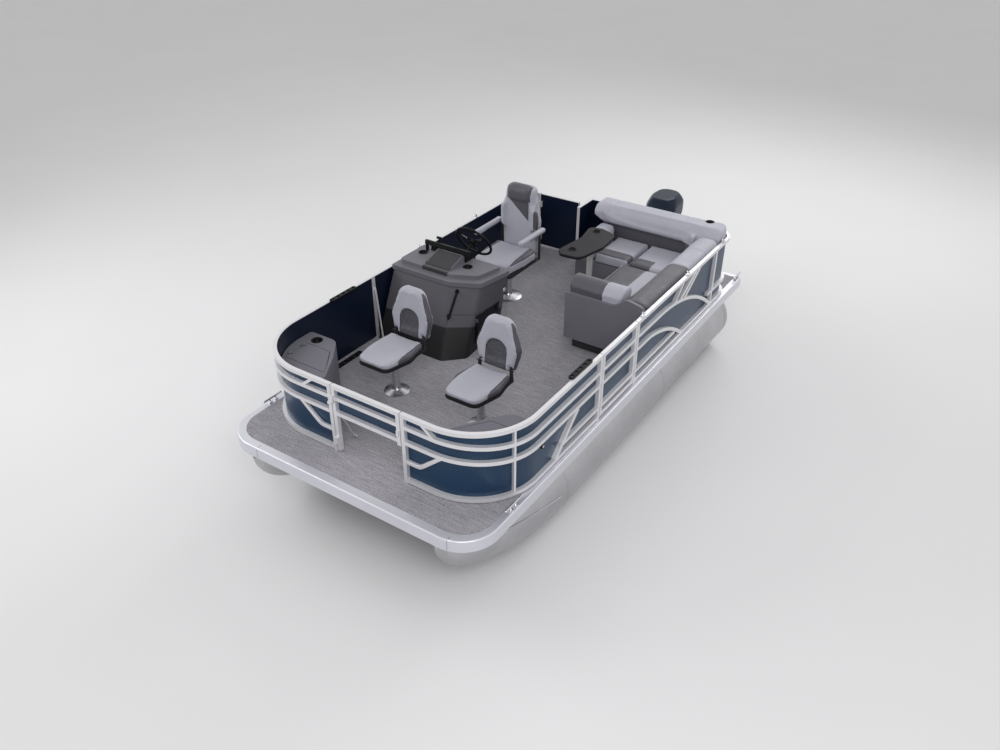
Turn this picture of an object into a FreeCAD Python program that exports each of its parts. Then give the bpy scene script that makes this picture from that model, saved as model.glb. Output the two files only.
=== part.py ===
import FreeCAD, Part
import Sketcher
import math
import os

V = FreeCAD.Vector

# Pontoon boat, 16 ft deck on two tubes, in millimetres.
# X points to port, Y aft and Z up, and Z is 0 at the bottom of the keels.
# Stations along the boat are measured aft from the front edge of the deck.
# Names that end in _level or _height are heights above the deck.

doc = FreeCAD.newDocument("PontoonBoat")
sheet = doc.addObject("Spreadsheet::Sheet", "Sizes")

SIZES = [
    # deck
    ("beam", 2438),
    ("deck_length", 4890),
    ("deck_top", 745),
    ("floor_thickness", 22),
    ("deck_corner", 300),
    ("deck_rear_corner", 40),
    ("trim_wall", 5),
    ("trim_lip", 60),
    ("trim_lip_bow", 75),
    ("trim_round", 12),
    ("overall_length", 5790),
    # cross members under the floor
    ("channel_height", 76),
    ("channel_flange", 38),
    ("channel_wall", 4),
    ("channel_pitch", 406),
    ("channel_first", 120),
    # tubes
    ("tube_radius", 292),
    ("tube_spacing", 1800),
    ("tube_rear", 4690),
    ("nose_start", 1336),
    ("nose_tip", 60),
    ("keel_height", 23),
    ("keel_width", 44),
    ("riser_width", 150),
    ("riser_wall", 5),
    ("riser_front", 640),
    ("riser_set_in", 60),
    ("bead_height", 2),
    ("bead_width", 12),
    ("bead_middle", 3125),
    # motor pod
    ("pod_width", 660),
    ("pod_front", 4200),
    ("pod_rise", 560),
    ("pod_rake", 260),
    ("pod_bottom", 300),
    ("transom_face", 5190),
    ("transom_wall", 40),
    ("transom_top", 765),
    ("transom_bottom", 330),
    ("transom_width", 400),
    # bow eyes and cleats
    ("eye_spacing", 1800),
    ("eye_set_back", 32),
    ("eye_drop", 10),
    ("cleat_length", 190),
    ("cleat_front", 528),
    ("cleat_rear_inset", 90),
    # fence
    ("rail", 32),
    ("fence_front", 325),
    ("fence_half_width", 1183),
    ("fence_corner", 540),
    ("fence_stern_corner", 180),
    ("fence_height", 612),
    ("fence_stern", 4555),
    ("panel_sheet", 2.5),
    ("panel_edge", 4),
    ("post_lap", 8),
    ("foot_gap", 8),
    ("foot_radius", 11),
    ("rail_two_bow", 484),
    ("rail_three_bow", 350),
    ("rail_two_side", 442),
    ("rail_three_side", 315),
    ("rail_four_side", 101),
    ("strut_foot", 1120),
    ("strut_head", 1440),
    ("strut_width", 40),
    ("rail_four_front", 1180),
    ("corner_strip", 16),
    ("corner_strip_turn", 65),
    ("low_sweep_start", 2695),
    ("low_sweep_middle", 3090),
    ("low_sweep_level", 218),
    ("low_sweep_end", 3405),
    ("high_sweep_start", 2895),
    ("high_sweep_middle", 3560),
    ("high_sweep_level", 330),
    ("high_sweep_end", 4085),
    ("rail_four_rear", 3240),
    ("slant_first", 3290),
    ("slant_pitch", 90),
    ("slant_run", 310),
    ("slant_width", 34),
    ("thin_slant", 3160),
    ("thin_slant_width", 22),
    ("divider_post", 4080),
    ("stern_rail_level", 150),
    ("stern_rail_front", 3990),
    ("stern_post", 300),
    ("return_port", -402),
    ("return_front", 4247),
    ("brace_radius", 8),
    ("brace_level", 492),
    ("brace_foot_radius", 16),
    ("helm_brace_x", -1033),
    ("helm_brace_y", 1765),
    # gates
    ("bow_gate_starboard", -281),
    ("bow_gate_port", 374),
    ("bow_gate_drop", 28),
    ("drop_rod_x", -304),
    ("drop_rod_y", 540),
    ("drop_rod_head", 36),
    ("drop_rod_radius", 5),
    ("drop_rod_lift", 6),
    ("side_gate_front", 1800),
    ("side_gate_rear", 2410),
    ("stern_return", 224),
    ("stern_gate_port", -471),
    ("stern_gate_face", 4391),
    ("starboard_post", 1820),
    ("gate_gap", 8),
    ("gate_lift", 20),
    ("hinge_radius", 5),
    ("hinge_low", 90),
    ("hinge_high", 470),
    ("eye_height", 22),
    ("leaf_height", 60),
    ("hinge_eye", 8.5),
    ("hinge_offset", 14),
    ("hinge_clearance", 0.05),
    # console
    ("console_front", 1795),
    ("console_rear", 2535),
    ("console_rake", 285),
    ("console_height", 600),
    ("console_starboard", -1120),
    ("console_wall", 5),
    ("console_lip", 44),
    ("console_over", 12),
    ("console_flange", 10),
    ("console_facet_low", -400),
    ("console_facet_high", -500),
    ("console_side_low", -235),
    ("console_side_high", -250),
    ("console_stern_low", -290),
    ("console_stern_high", -185),
    ("facet_run_low", 165),
    ("facet_run_high", 125),
    ("grab_radius", 11),
    ("grab_stand_off", 46),
    ("grab_low_share", 0.6),
    ("grab_high_share", 0.93),
    ("dash_step", 36),
    ("dash_pod_starboard", -845),
    ("dash_pod_port", -560),
    ("dash_pod_set_back", 90),
    ("dash_pod_length", 232),
    ("dash_pod_height", 108),
    ("hood_starboard", -1010),
    ("hood_depth", 38),
    ("hood_height", 110),
    ("hood_thickness", 38),
    ("dash_cup_radius", 38),
    ("dash_cup_port_x", -481),
    ("dash_cup_port_y", 2340),
    ("dash_cup_starboard_x", -1002),
    ("dash_cup_starboard_y", 2362),
    ("foot_well_starboard", -860),
    ("foot_well_port", -330),
    ("foot_well_low", 60),
    ("foot_well_high", 500),
    ("door_front", 2120),
    ("door_rear", 2470),
    ("door_bottom", 60),
    ("door_top", 350),
    ("door_gap", 6),
    ("door_hinge_x", -226),
    ("knuckle", 30),
    # steering wheel and throttle
    ("wheel_x", -600),
    ("wheel_y", 2608),
    ("wheel_z", 800),
    ("wheel_radius", 178),
    ("wheel_rim", 12),
    ("wheel_hub", 32),
    ("wheel_tilt", 30),
    ("spoke_width", 28),
    ("spoke_thickness", 7),
    ("column_radius", 12),
    ("column_length", 145),
    ("column_clearance", 0.05),
    ("throttle_x", -945),
    ("throttle_y", 2490),
    # fishing chairs
    ("chair_x", 432),
    ("chair_y", 1221),
    ("chair_base", 110),
    ("chair_post", 33),
    ("chair_seat_top", 440),
    ("chair_width", 430),
    ("chair_front", 290),
    ("chair_rear", 190),
    ("chair_cushion", 75),
    ("chair_dish", 14),
    ("chair_pan", 30),
    ("chair_bearing", 24),
    ("chair_back_height", 430),
    ("chair_back_width", 440),
    ("chair_back_depth", 85),
    ("chair_back_lean", 45),
    ("chair_arch_width", 190),
    ("chair_arch_low", 60),
    ("chair_arch_high", 235),
    ("chair_arch_depth", 16),
    ("chair_arm_spread", 150),
    ("back_pin", 5),
    # helm chair
    ("helm_x", -588),
    ("helm_y", 3164),
    ("helm_base", 140),
    ("helm_post", 37),
    ("helm_seat_top", 510),
    ("helm_width", 480),
    ("helm_front", 340),
    ("helm_rear", 170),
    ("helm_cushion", 110),
    ("helm_pan", 34),
    ("helm_bearing", 30),
    ("helm_back_height", 600),
    ("helm_back_width", 430),
    ("helm_back_depth", 120),
    ("helm_wing", 40),
    ("helm_arm_level", 178),
    ("helm_arm_width", 54),
    ("helm_arm_front", 190),
    ("helm_arm_radius", 27),
    ("headrest_width", 250),
    ("headrest_height", 150),
    # lounge
    ("lounge_front", 2615),
    ("lounge_side", 372),
    ("lounge_end", -150),
    ("lounge_stern_inner", 3741),
    ("lounge_split", 430),
    ("lounge_kick", 110),
    ("lounge_kick_set", 60),
    ("lounge_base_top", 305),
    ("lounge_wall", 12),
    ("locker_rim", 40),
    ("front_panel", 30),
    ("front_panel_top", 562),
    ("front_panel_crest", 653),
    ("front_panel_bend", 860),
    ("front_panel_rise", 960),
    ("seat_top", 405),
    ("seat_round", 25),
    ("seat_gap", 8),
    ("bolster_depth", 240),
    ("bolster_top", 648),
    ("stern_bolster_top", 708),
    ("stern_bolster_depth", 300),
    ("stern_bolster_end", -235),
    ("inner_turn", 140),
    ("seat_pin", 4),
    ("seat_hinge_set", 13),
    ("stern_back_set", 50),
    ("lounge_arm_depth", 225),
    ("lounge_arm_top", 695),
    ("end_arm_width", 190),
    ("end_arm_top", 540),
    ("end_arm_front", 3801),
    ("corner_cup_x", 947),
    ("corner_cup_y", 4443),
    ("corner_cup_radius", 38),
    ("corner_cup_depth", 60),
    ("soft_gap", 0.3),
    # table
    ("table_x", 125),
    ("table_y", 3520),
    ("table_height", 645),
    ("table_thickness", 26),
    ("table_round", 8),
    ("table_post", 30),
    ("table_foot", 115),
    ("table_cup_radius", 36),
    ("table_cup_depth", 21),
    # bow boxes
    ("livewell_height", 450),
    ("storage_height", 400),
    ("box_rear", 1010),
    ("box_inner", 560),
    ("box_wall", 6),
    ("lid_thickness", 14),
    ("lid_front", 600),
    ("lid_rear", 850),
    ("lid_hinge", 1035),
    ("lid_pin", 4),
    ("box_ledge", 8),
    ("lid_gap", 5),
    ("cup_radius", 40),
    ("cup_depth", 70),
    ("cup_x", -1000),
    ("cup_y", 925),
    # rod racks
    ("rack_length", 316),
    ("rack_width", 46),
    ("rack_thickness", 14),
    ("rack_hole", 14),
    ("rack_port_y", 1358),
    ("rack_starboard_y", 1263),
    ("rack_floor_x", -1090),
    ("rack_floor_y", 1200),
    # canopy brackets
    ("bracket_front", 2520),
    ("bracket_rear", 3430),
    # outboard motor
    ("tilt_y", 5235),
    ("tilt_z", 790),
    ("steer_y", 5320),
    ("tilt_tube", 11),
    ("steer_pin", 14),
    ("swivel_low", 520),
    ("cowl_bottom", 850),
    ("cowl_top", 1175),
    ("cowl_front", 5262),
    ("cowl_rear", 5790),
    ("cowl_width", 360),
    ("cowl_wall", 5),
    ("plate_z", 257),
    ("plate_thickness", 7),
    ("prop_z", 127),
    ("prop_y", 5545),
    ("prop_radius", 117),
    ("prop_pitch", 300),
    ("prop_hub", 34),
    ("prop_shaft", 9),
    ("blade_chord", 118),
    ("skeg_bottom", 12),
    ("leg_set_back", 40),
    ("leg_chord", 165),
    ("leg_middle", 440),
    ("leg_shoulder", 650),
    ("fin_reach", 48),
    ("fin_length", 303),
    ("gearcase_length", 248),
    ("engine_width", 220),
    ("engine_length", 308),
    ("engine_height", 250),
    ("gearcase_radius", 42),
]

for row, (alias, value) in enumerate(SIZES, start=1):
    sheet.set("A%d" % row, alias)
    sheet.set("B%d" % row, str(value))
    sheet.setAlias("B%d" % row, alias)
doc.recompute()


def size(alias):
    return float(sheet.get(alias))


DECK = size("deck_top")
BEAM = size("beam") / 2
LENGTH = size("deck_length")
FENCE_X = size("fence_half_width")
RAIL = size("rail")
GAP = size("soft_gap")
CLEARANCE = size("hinge_clearance")

parts = []


# Every sub-part is built at its station, and its Placement centres the boat. One that is built
# round its own origin gives the place of that origin as expressions.
def finish(obj, label, x="0 mm", y="0 mm", z="0 mm", rotation=FreeCAD.Rotation()):
    obj.Label = label
    obj.Placement = FreeCAD.Placement(V(0, 0, 0), rotation)
    obj.setExpression("Placement.Base.x", x)
    obj.setExpression("Placement.Base.y", y + " - Sizes.overall_length * 1 mm / 2")
    obj.setExpression("Placement.Base.z", z)
    parts.append(obj)
    return obj


def feature(label, shape):
    obj = doc.addObject("Part::Feature", label)
    moved = shape.Placement.toMatrix()
    shape = shape.copy()
    shape.Placement = FreeCAD.Placement()
    shape.transformShape(moved, True)
    obj.Shape = shape
    return finish(obj, label)


# A closed outline from (x, y, radius) corners, as lines and tangent arcs.
def outline(corners, z=0):
    count = len(corners)
    points = [V(c[0], c[1], z) for c in corners]
    radii = [c[2] if len(c) > 2 else 0 for c in corners]
    starts = []
    edges = []
    for i in range(count):
        before, here, after = points[i - 1], points[i], points[(i + 1) % count]
        if radii[i] <= 0:
            starts.append((here, None, here))
            continue
        a = (before - here).normalize()
        b = (after - here).normalize()
        half = math.acos(max(-1, min(1, a.dot(b)))) / 2
        reach = radii[i] / math.tan(half)
        centre = here + (a + b).normalize() * (radii[i] / math.sin(half))
        middle = centre + (here - centre).normalize() * radii[i]
        starts.append((here + a * reach, middle, here + b * reach))
    for i in range(count):
        first, middle, last = starts[i]
        if middle is not None:
            edges.append(Part.Arc(first, middle, last).toShape())
        following = starts[(i + 1) % count][0]
        if (following - last).Length > 1e-6:
            edges.append(Part.makeLine(last, following))
    return Part.Wire(edges)


def prism(corners, bottom, top):
    face = Part.Face(outline(corners, bottom))
    return face.extrude(V(0, 0, top - bottom))


def box(x0, x1, y0, y1, z0, z1):
    return Part.makeBox(x1 - x0, y1 - y0, z1 - z0, V(x0, y0, z0))


def cylinder(radius, start, end):
    axis = end - start
    return Part.makeCylinder(radius, axis.Length, start, axis)


# A wire drawn in (x, z), stood up in the plane across the boat at station y.
def turned_up(wire, y):
    wire.rotate(V(0, 0, 0), V(1, 0, 0), 90)
    wire.translate(V(0, y, 0))
    return wire


def across(corners, y0, y1):
    return Part.Face(turned_up(outline(corners), y0)).extrude(V(0, y1 - y0, 0))


# A profile in the plane along the boat (y, z), extruded from x0 to x1.
def along(corners, x0, x1):
    wire = outline(corners)
    wire.rotate(V(0, 0, 0), V(1, 0, 0), 90)
    wire.rotate(V(0, 0, 0), V(0, 0, 1), 90)
    wire.translate(V(x0, 0, 0))
    return Part.Face(wire).extrude(V(x1 - x0, 0, 0))


def join(shapes):
    first = shapes[0]
    if len(shapes) == 1:
        return first
    return first.fuse(shapes[1:]).removeSplitter()


# A smooth closed ring through points, for the sections of padded shapes.
def ring(points):
    curve = Part.BSplineCurve()
    curve.interpolate(points, PeriodicFlag=True)
    return Part.Wire([curve.toShape()])


# A sketch on one of the body's own origin planes, with the wires' lines, arcs and circles.
def sketch_on(body, name, wires, plane="XY_Plane", lift=None):
    sk = body.newObject("Sketcher::SketchObject", name)
    origin = [f for f in body.Origin.OriginFeatures if f.Role == plane][0]
    sk.AttachmentSupport = [(origin, "")]
    sk.MapMode = "FlatFace"
    if lift is not None:
        sk.setExpression("AttachmentOffset.Base.z", lift)
    for wire in wires:
        for edge in wire.Edges:
            if edge.Curve.TypeId == "Part::GeomLine":
                ends = [v.Point for v in edge.Vertexes]
                sk.addGeometry(Part.LineSegment(ends[0], ends[1]), False)
            elif edge.isClosed():
                curve = edge.Curve
                sk.addGeometry(Part.Circle(curve.Center, V(0, 0, 1), curve.Radius), False)
            else:
                points = edge.discretize(3)
                sk.addGeometry(Part.Arc(points[0], points[1], points[2]), False)
    return sk


def new_body(label):
    return doc.addObject("PartDesign::Body", label)


def pad(body, name, sk, length, backward=False):
    pad_feature = body.newObject("PartDesign::Pad", name)
    pad_feature.Profile = sk
    pad_feature.Reversed = backward
    pad_feature.setExpression("Length", length)
    return pad_feature


def pocket(body, name, sk, depth):
    pocket_feature = body.newObject("PartDesign::Pocket", name)
    pocket_feature.Profile = sk
    pocket_feature.setExpression("Length", depth)
    return pocket_feature


# A sketch of (radius, height) turned round the body's own upright axis.
def turn(body, name, profile):
    sk = sketch_on(body, name + "_profile", [outline(profile)], "XZ_Plane")
    revolution = body.newObject("PartDesign::Revolution", name)
    revolution.Profile = sk
    revolution.ReferenceAxis = (sk, ["V_Axis"])
    revolution.Angle = 360
    return revolution


def round_edges(body, name, radius, chosen):
    doc.recompute()
    base = body.Tip
    names = ["Edge%d" % (i + 1) for i, edge in enumerate(base.Shape.Edges) if chosen(edge.BoundBox)]
    fillet = body.newObject("PartDesign::Fillet", name)
    fillet.Base = (base, names)
    fillet.setExpression("Radius", radius)
    return fillet


def circle_wire(x, y, radius):
    return Part.Wire([Part.Circle(V(x, y, 0), V(0, 0, 1), radius).toShape()])


# A piece with one outline seen from above, as a pad in its own body.
def plate(label, wires, bottom, thickness):
    body = new_body(label)
    pad(body, label + "_pad", sketch_on(body, label + "_outline", wires, "XY_Plane", bottom), thickness)
    return body


# A piece with one profile (y, z) along the boat, from x to port over a width.
def side_body(label, wires, start, width):
    body = new_body(label)
    pad(body, label + "_pad", sketch_on(body, label + "_profile", wires, "YZ_Plane", start), width)
    return body


# Several bodies that make up one sub-part without touching.
def group(label, bodies):
    compound = doc.addObject("Part::Compound", label)
    compound.Links = bodies
    return finish(compound, label)


# The tubes: a nose that keeps its top line and lifts its bottom towards the tip, weld beads,
# a keel and the riser that carries the cross members.
TUBE_R = size("tube_radius")
TUBE_Z = size("keel_height") + TUBE_R
CHANNEL_TOP = DECK - size("floor_thickness")
CHANNEL_BOTTOM = CHANNEL_TOP - size("channel_height")
NOSE_SHAPE = [(0, 1), (0.12, 0.992), (0.35, 0.93), (0.62, 0.78), (0.84, 0.56), (0.96, 0.36), (1, 0.2)]
TUBE_X = "Sizes.tube_spacing / 2"
TUBE_MIDDLE = "Sizes.keel_height + Sizes.tube_radius"


def tube_ring(index, reach, share):
    circle = doc.addObject("Part::Circle", "nose_ring_%d" % index)
    circle.setExpression("Radius", "Sizes.tube_radius * %s" % share)
    circle.Placement.Rotation = FreeCAD.Rotation(V(1, 0, 0), 90)
    circle.setExpression("Placement.Base.x", TUBE_X)
    circle.setExpression("Placement.Base.y",
                         "Sizes.nose_start - (Sizes.nose_start - Sizes.nose_tip) * %s" % reach)
    circle.setExpression("Placement.Base.z", "%s + Sizes.tube_radius * (1 - %s)" % (TUBE_MIDDLE, share))
    return circle


def tube_length(name, radius, start, length):
    piece = doc.addObject("Part::Cylinder", name)
    piece.setExpression("Radius", radius)
    piece.setExpression("Height", length)
    piece.Placement.Rotation = FreeCAD.Rotation(V(1, 0, 0), -90)
    piece.setExpression("Placement.Base.x", TUBE_X)
    piece.setExpression("Placement.Base.y", start)
    piece.setExpression("Placement.Base.z", TUBE_MIDDLE)
    return piece


def long_box(name, width, start, length, bottom, height):
    piece = doc.addObject("Part::Box", name)
    piece.setExpression("Length", width)
    piece.setExpression("Width", length)
    piece.setExpression("Height", height)
    piece.setExpression("Placement.Base.x", "%s - (%s) / 2" % (TUBE_X, width))
    piece.setExpression("Placement.Base.y", start)
    piece.setExpression("Placement.Base.z", bottom)
    return piece


nose = doc.addObject("Part::Loft", "nose")
nose.Sections = [tube_ring(i, reach, share) for i, (reach, share) in enumerate(NOSE_SHAPE)]
nose.Solid = True
TUBE_END = "Sizes.tube_rear - Sizes.riser_set_in"
BEAD = "Sizes.tube_radius + Sizes.bead_height"
tube_top = "%s + Sizes.tube_radius" % TUBE_MIDDLE
riser_top = "Sizes.deck_top - Sizes.floor_thickness - Sizes.channel_height"
riser_sink = 20
tube_pieces = [nose, tube_length("tube", "Sizes.tube_radius", "Sizes.nose_start",
                                 "Sizes.tube_rear - Sizes.nose_start")]
for i, station in enumerate(("Sizes.nose_start", "Sizes.bead_middle", TUBE_END)):
    tube_pieces.append(tube_length("bead_%d" % i, BEAD, station + " - Sizes.bead_width / 2",
                                   "Sizes.bead_width"))
tube_pieces.append(long_box("keel", "Sizes.keel_width", "Sizes.nose_start",
                            TUBE_END + " - Sizes.nose_start", "0",
                            "Sizes.keel_height + Sizes.bead_height * 3"))
riser_length = TUBE_END + " - Sizes.riser_front"
riser_block = long_box("riser_block", "Sizes.riser_width", "Sizes.riser_front", riser_length,
                       "%s - %d" % (tube_top, riser_sink), "%s - (%s) + %d" % (riser_top, tube_top,
                                                                               riser_sink))
riser_hollow = long_box("riser_hollow", "Sizes.riser_width - 2 * Sizes.riser_wall", "Sizes.riser_front - 1",
                        riser_length + " + 2", tube_top, "%s - (%s) - Sizes.riser_wall" % (riser_top,
                                                                                           tube_top))
riser = doc.addObject("Part::Cut", "riser")
riser.Base = riser_block
riser.Tool = riser_hollow
tube_pieces.append(riser)
port_tube = doc.addObject("Part::MultiFuse", "pontoon_port")
port_tube.Shapes = tube_pieces
finish(port_tube, "pontoon_port")
starboard_tube = doc.addObject("Part::Mirroring", "pontoon_starboard")
starboard_tube.Source = port_tube
starboard_tube.Normal = V(1, 0, 0)
starboard_tube.Label = "pontoon_starboard"
parts.append(starboard_tube)

# Cross members under the floor, shorter where the bow corners round in.
pieces = []
y = size("channel_first")
wall = size("channel_wall")
flange = size("channel_flange")
frame_x = BEAM - size("trim_wall")
corner_share = 0.62
while y + flange < LENGTH - size("trim_wall") - wall:
    reach = frame_x - wall
    if y < size("deck_corner"):
        reach = frame_x - size("deck_corner") * corner_share
    profile = [(y, CHANNEL_BOTTOM), (y + flange, CHANNEL_BOTTOM), (y + flange, CHANNEL_BOTTOM + wall),
               (y + wall, CHANNEL_BOTTOM + wall), (y + wall, CHANNEL_TOP - wall),
               (y + flange, CHANNEL_TOP - wall), (y + flange, CHANNEL_TOP), (y, CHANNEL_TOP)]
    pieces.append(along(profile, -reach, reach))
    y += size("channel_pitch")
feature("deck_frame", Part.makeCompound(pieces))


# Floor and edge trim. The trim hides the floor's edge and the ends of the cross members.
def deck_outline(inset, bow_inset):
    x = BEAM - inset
    front = max(size("deck_corner") - inset, wall)
    rear = max(size("deck_rear_corner") - inset, wall)
    return outline([(-x, bow_inset, front), (x, bow_inset, front),
                    (x, LENGTH - inset, rear), (-x, LENGTH - inset, rear)])


lip = size("trim_lip")
lip_bow = size("trim_lip_bow")
floor = plate("deck_floor", [deck_outline(lip, lip_bow)], "Sizes.deck_top - Sizes.floor_thickness",
              "Sizes.floor_thickness")
finish(floor, "deck_floor")

trim = new_body("deck_trim")
TRIM_HEIGHT = "Sizes.floor_thickness + Sizes.channel_height"
rim_sketch = sketch_on(trim, "trim_wall_outline",
                       [deck_outline(0, 0), deck_outline(size("trim_wall"), size("trim_wall"))],
                       "XY_Plane", "Sizes.deck_top - (%s)" % TRIM_HEIGHT)
pad(trim, "trim_wall_pad", rim_sketch, TRIM_HEIGHT)
lip_sketch = sketch_on(trim, "trim_lip_outline", [deck_outline(0, 0), deck_outline(lip, lip_bow)],
                       "XY_Plane", "Sizes.deck_top - Sizes.floor_thickness")
pad(trim, "trim_lip_pad", lip_sketch, "Sizes.floor_thickness")


# The trim's outer edge is round along its top.
def outer_top_edge(bounds):
    high = bounds.ZMin > DECK - 0.1
    outside = (bounds.XMax > BEAM - 0.1 or bounds.XMin < -BEAM + 0.1 or bounds.YMin < 0.1
               or bounds.YMax > LENGTH - 0.1)
    return high and outside


round_edges(trim, "trim_round_edge", "Sizes.trim_round", outer_top_edge)
finish(trim, "deck_trim")

# Motor pod with its transom.
TRIM_LOW = CHANNEL_BOTTOM
pod_front, pod_low = size("pod_front"), size("pod_bottom")
face = size("transom_face")
pod_wire = outline([(pod_front, TRIM_LOW), (pod_front, size("pod_rise")),
                    (pod_front + size("pod_rake"), pod_low, 40),
                    (face, pod_low), (face, TRIM_LOW)])
pod = side_body("motor_pod", [pod_wire], "-Sizes.pod_width / 2", "Sizes.pod_width")
half_transom = size("transom_width") / 2
t_low, t_top = size("transom_bottom"), size("transom_top")
transom_wire = outline([(-half_transom, t_low), (half_transom, t_low), (half_transom, t_top, 40),
                        (-half_transom, t_top, 40)])
transom_sketch = sketch_on(pod, "transom_outline", [transom_wire], "XZ_Plane",
                           "-(Sizes.transom_face - Sizes.transom_wall)")
pad(pod, "transom_pad", transom_sketch, "Sizes.transom_wall", True)
finish(pod, "motor_pod")


# Bow eyes: a ring that hangs from a lug behind the trim.
def bow_eye(x):
    y = size("eye_set_back")
    z = TRIM_LOW - size("eye_drop")
    stem = cylinder(7, V(x, y, z), V(x, y, TRIM_LOW + 15))
    eye_ring = Part.makeTorus(17, 6, V(x, y, z - 16), V(1, 0, 0))
    lug = box(x - 16, x + 16, size("trim_wall"), y + 20, TRIM_LOW + 12, CHANNEL_TOP)
    return join([stem, eye_ring, lug])


eye_x = size("eye_spacing") / 2
feature("bow_eyes", Part.makeCompound([bow_eye(eye_x), bow_eye(-eye_x)]))


# Mooring cleat: two feet, two legs and a horn with round tips.
def cleat(x, y):
    reach = size("cleat_length") / 2
    leg = reach / 3
    horn_r = 9
    horn_z = DECK + 38
    feet = [box(x - 14, x + 14, y + d - 16, y + d + 16, DECK, DECK + 12) for d in (-leg, leg)]
    legs = [cylinder(8, V(x, y + d, DECK), V(x, y + d, horn_z)) for d in (-leg, leg)]
    horn = cylinder(horn_r, V(x, y - reach, horn_z), V(x, y + reach, horn_z))
    tips = [Part.makeSphere(horn_r, V(x, y + d, horn_z)) for d in (-reach, reach)]
    return join([horn] + feet + legs + tips)


cleat_x = BEAM - lip / 2
cleat_stations = (size("cleat_front"), LENGTH - size("cleat_rear_inset"))
feature("deck_cleats", Part.makeCompound([cleat(side * cleat_x, y) for side in (1,
                                                                                -1) for y in cleat_stations]))

# Fence
FRONT = size("fence_front")
CORNER = size("fence_corner")
TOP = size("fence_height")
STERN = size("fence_stern")
SHEET = size("panel_sheet")
FOOT = size("foot_gap")
TOP_LOW = TOP - RAIL
TWO, THREE, FOUR = size("rail_two_side"), size("rail_three_side"), size("rail_four_side")
BOW_TWO, BOW_THREE = size("rail_two_bow"), size("rail_three_bow")
# how far a slanted bar runs into the rail that it meets
SINK = 6

HINGE_R = size("hinge_radius")
EYE_R = size("hinge_eye")
EYE_HEIGHT = size("eye_height")
LEAF_HEIGHT = size("leaf_height")
HINGE_OFF = size("hinge_offset")
HINGE_BORE = HINGE_R + CLEARANCE
HINGE_LEVELS = (size("hinge_low"), size("hinge_high"))


# The eyes on a fence post that carry a gate's pins, each on a strap (x0, x1, y0, y1).
def hinge_eyes(x, y, strap):
    eyes = []
    for level in HINGE_LEVELS:
        low = DECK + level - EYE_HEIGHT
        high = DECK + level - GAP
        eye = cylinder(EYE_R, V(x, y, low), V(x, y, high)).fuse(box(*strap, low, high))
        eyes.append(eye.cut(cylinder(HINGE_BORE, V(x, y, low - 1), V(x, y, high + 1))))
    return eyes


# A gate's own pins with the leaves (x0, x1, y0, y1) that hold them.
def hinge_pins(x, y, leaf):
    pins = []
    for level in HINGE_LEVELS:
        low = DECK + level
        high = low + LEAF_HEIGHT
        pins.append(cylinder(HINGE_R, V(x, y, low - EYE_HEIGHT), V(x, y, high)))
        pins.append(cylinder(EYE_R, V(x, y, low), V(x, y, high)))
        pins.append(box(*leaf, low, high))
    return pins


# The band between two insets from the fence's outer line, from the bow gate aft to y1.
def bow_band(side, x0, y1, inset, width, bottom, top):
    a = inset
    b = inset + width
    x0 = side * x0
    corners = [(x0, FRONT + a), (side * (FENCE_X - a), FRONT + a, CORNER - a), (side * (FENCE_X - a), y1),
               (side * (FENCE_X - b), y1), (side * (FENCE_X - b), FRONT + b, CORNER - b), (x0, FRONT + b)]
    return prism(corners, DECK + bottom, DECK + top)


def side_band(side, y0, y1, inset, width, bottom, top):
    x0, x1 = sorted((side * (FENCE_X - inset), side * (FENCE_X - inset - width)))
    return box(x0, x1, y0, y1, DECK + bottom, DECK + top)


def side_rail(side, y0, y1, level):
    return side_band(side, y0, y1, 0, RAIL, level, level + RAIL)


def post(x, y):
    return box(x, x + RAIL, y, y + RAIL, DECK, DECK + TOP)


# A flat bar in the side's plane, from (y, level) to (y, level), flush with the rails.
def side_bar(side, start, end, width):
    run = V(0, end[0] - start[0], end[1] - start[1])
    half_across = V(0, -run.z, run.y).normalize() * (width / 2)
    x = side * FENCE_X
    a = V(x, start[0], DECK + start[1])
    b = V(x, end[0], DECK + end[1])
    wire = Part.makePolygon([a + half_across, b + half_across, b - half_across, a - half_across,
                             a + half_across])
    return Part.Face(wire).extrude(V(-side * RAIL, 0, 0))


# A bar bent along an arc through three (y, level) points in the side's plane.
def side_arc(side, stations):
    middle_line = [V(side * FENCE_X, y, DECK + level) for y, level in stations]
    centre = Part.Arc(*middle_line).toShape().Curve.Center
    above, below = [[centre + (point - centre).normalize() * ((point - centre).Length + d)
                     for point in middle_line]
                    for d in (RAIL / 2, -RAIL / 2)]
    wire = Part.Wire([Part.Arc(*above).toShape(), Part.makeLine(above[2], below[2]),
                      Part.Arc(*below).toShape(), Part.makeLine(below[0], above[0])])
    return Part.Face(wire).extrude(V(-side * RAIL, 0, 0))


def corner_spot(side, turn_angle, radius):
    angle = math.radians(turn_angle)
    return V(side * (FENCE_X - CORNER + radius * math.sin(angle)),
             FRONT + CORNER - radius * math.cos(angle), 0)


# A square rail round the bow corner that slopes from its bow height to its side height, trimmed
# to the band that the straight rails run in.
def corner_rail(side, bow_level, side_level):
    sections = []
    steps = 6
    for i in range(steps + 1):
        share = i / steps
        z = DECK + bow_level + (side_level - bow_level) * (3 * share ** 2 - 2 * share ** 3)
        a = corner_spot(side, 90 * share, CORNER + SHEET) + V(0, 0, z)
        b = corner_spot(side, 90 * share, CORNER - RAIL - SHEET) + V(0, 0, z)
        lift = V(0, 0, RAIL)
        sections.append(Part.makePolygon([a, b, b + lift, a + lift, a]))
    band = bow_band(side, FENCE_X - CORNER, FRONT + CORNER, 0, RAIL, FOOT, TOP)
    return Part.makeLoft(sections, True, False).common(band)


def bow_line(side, gate_x, level):
    x0, x1 = sorted((side * gate_x, side * (FENCE_X - CORNER)))
    return box(x0, x1, FRONT, FRONT + RAIL, DECK + level, DECK + level + RAIL)


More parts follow.
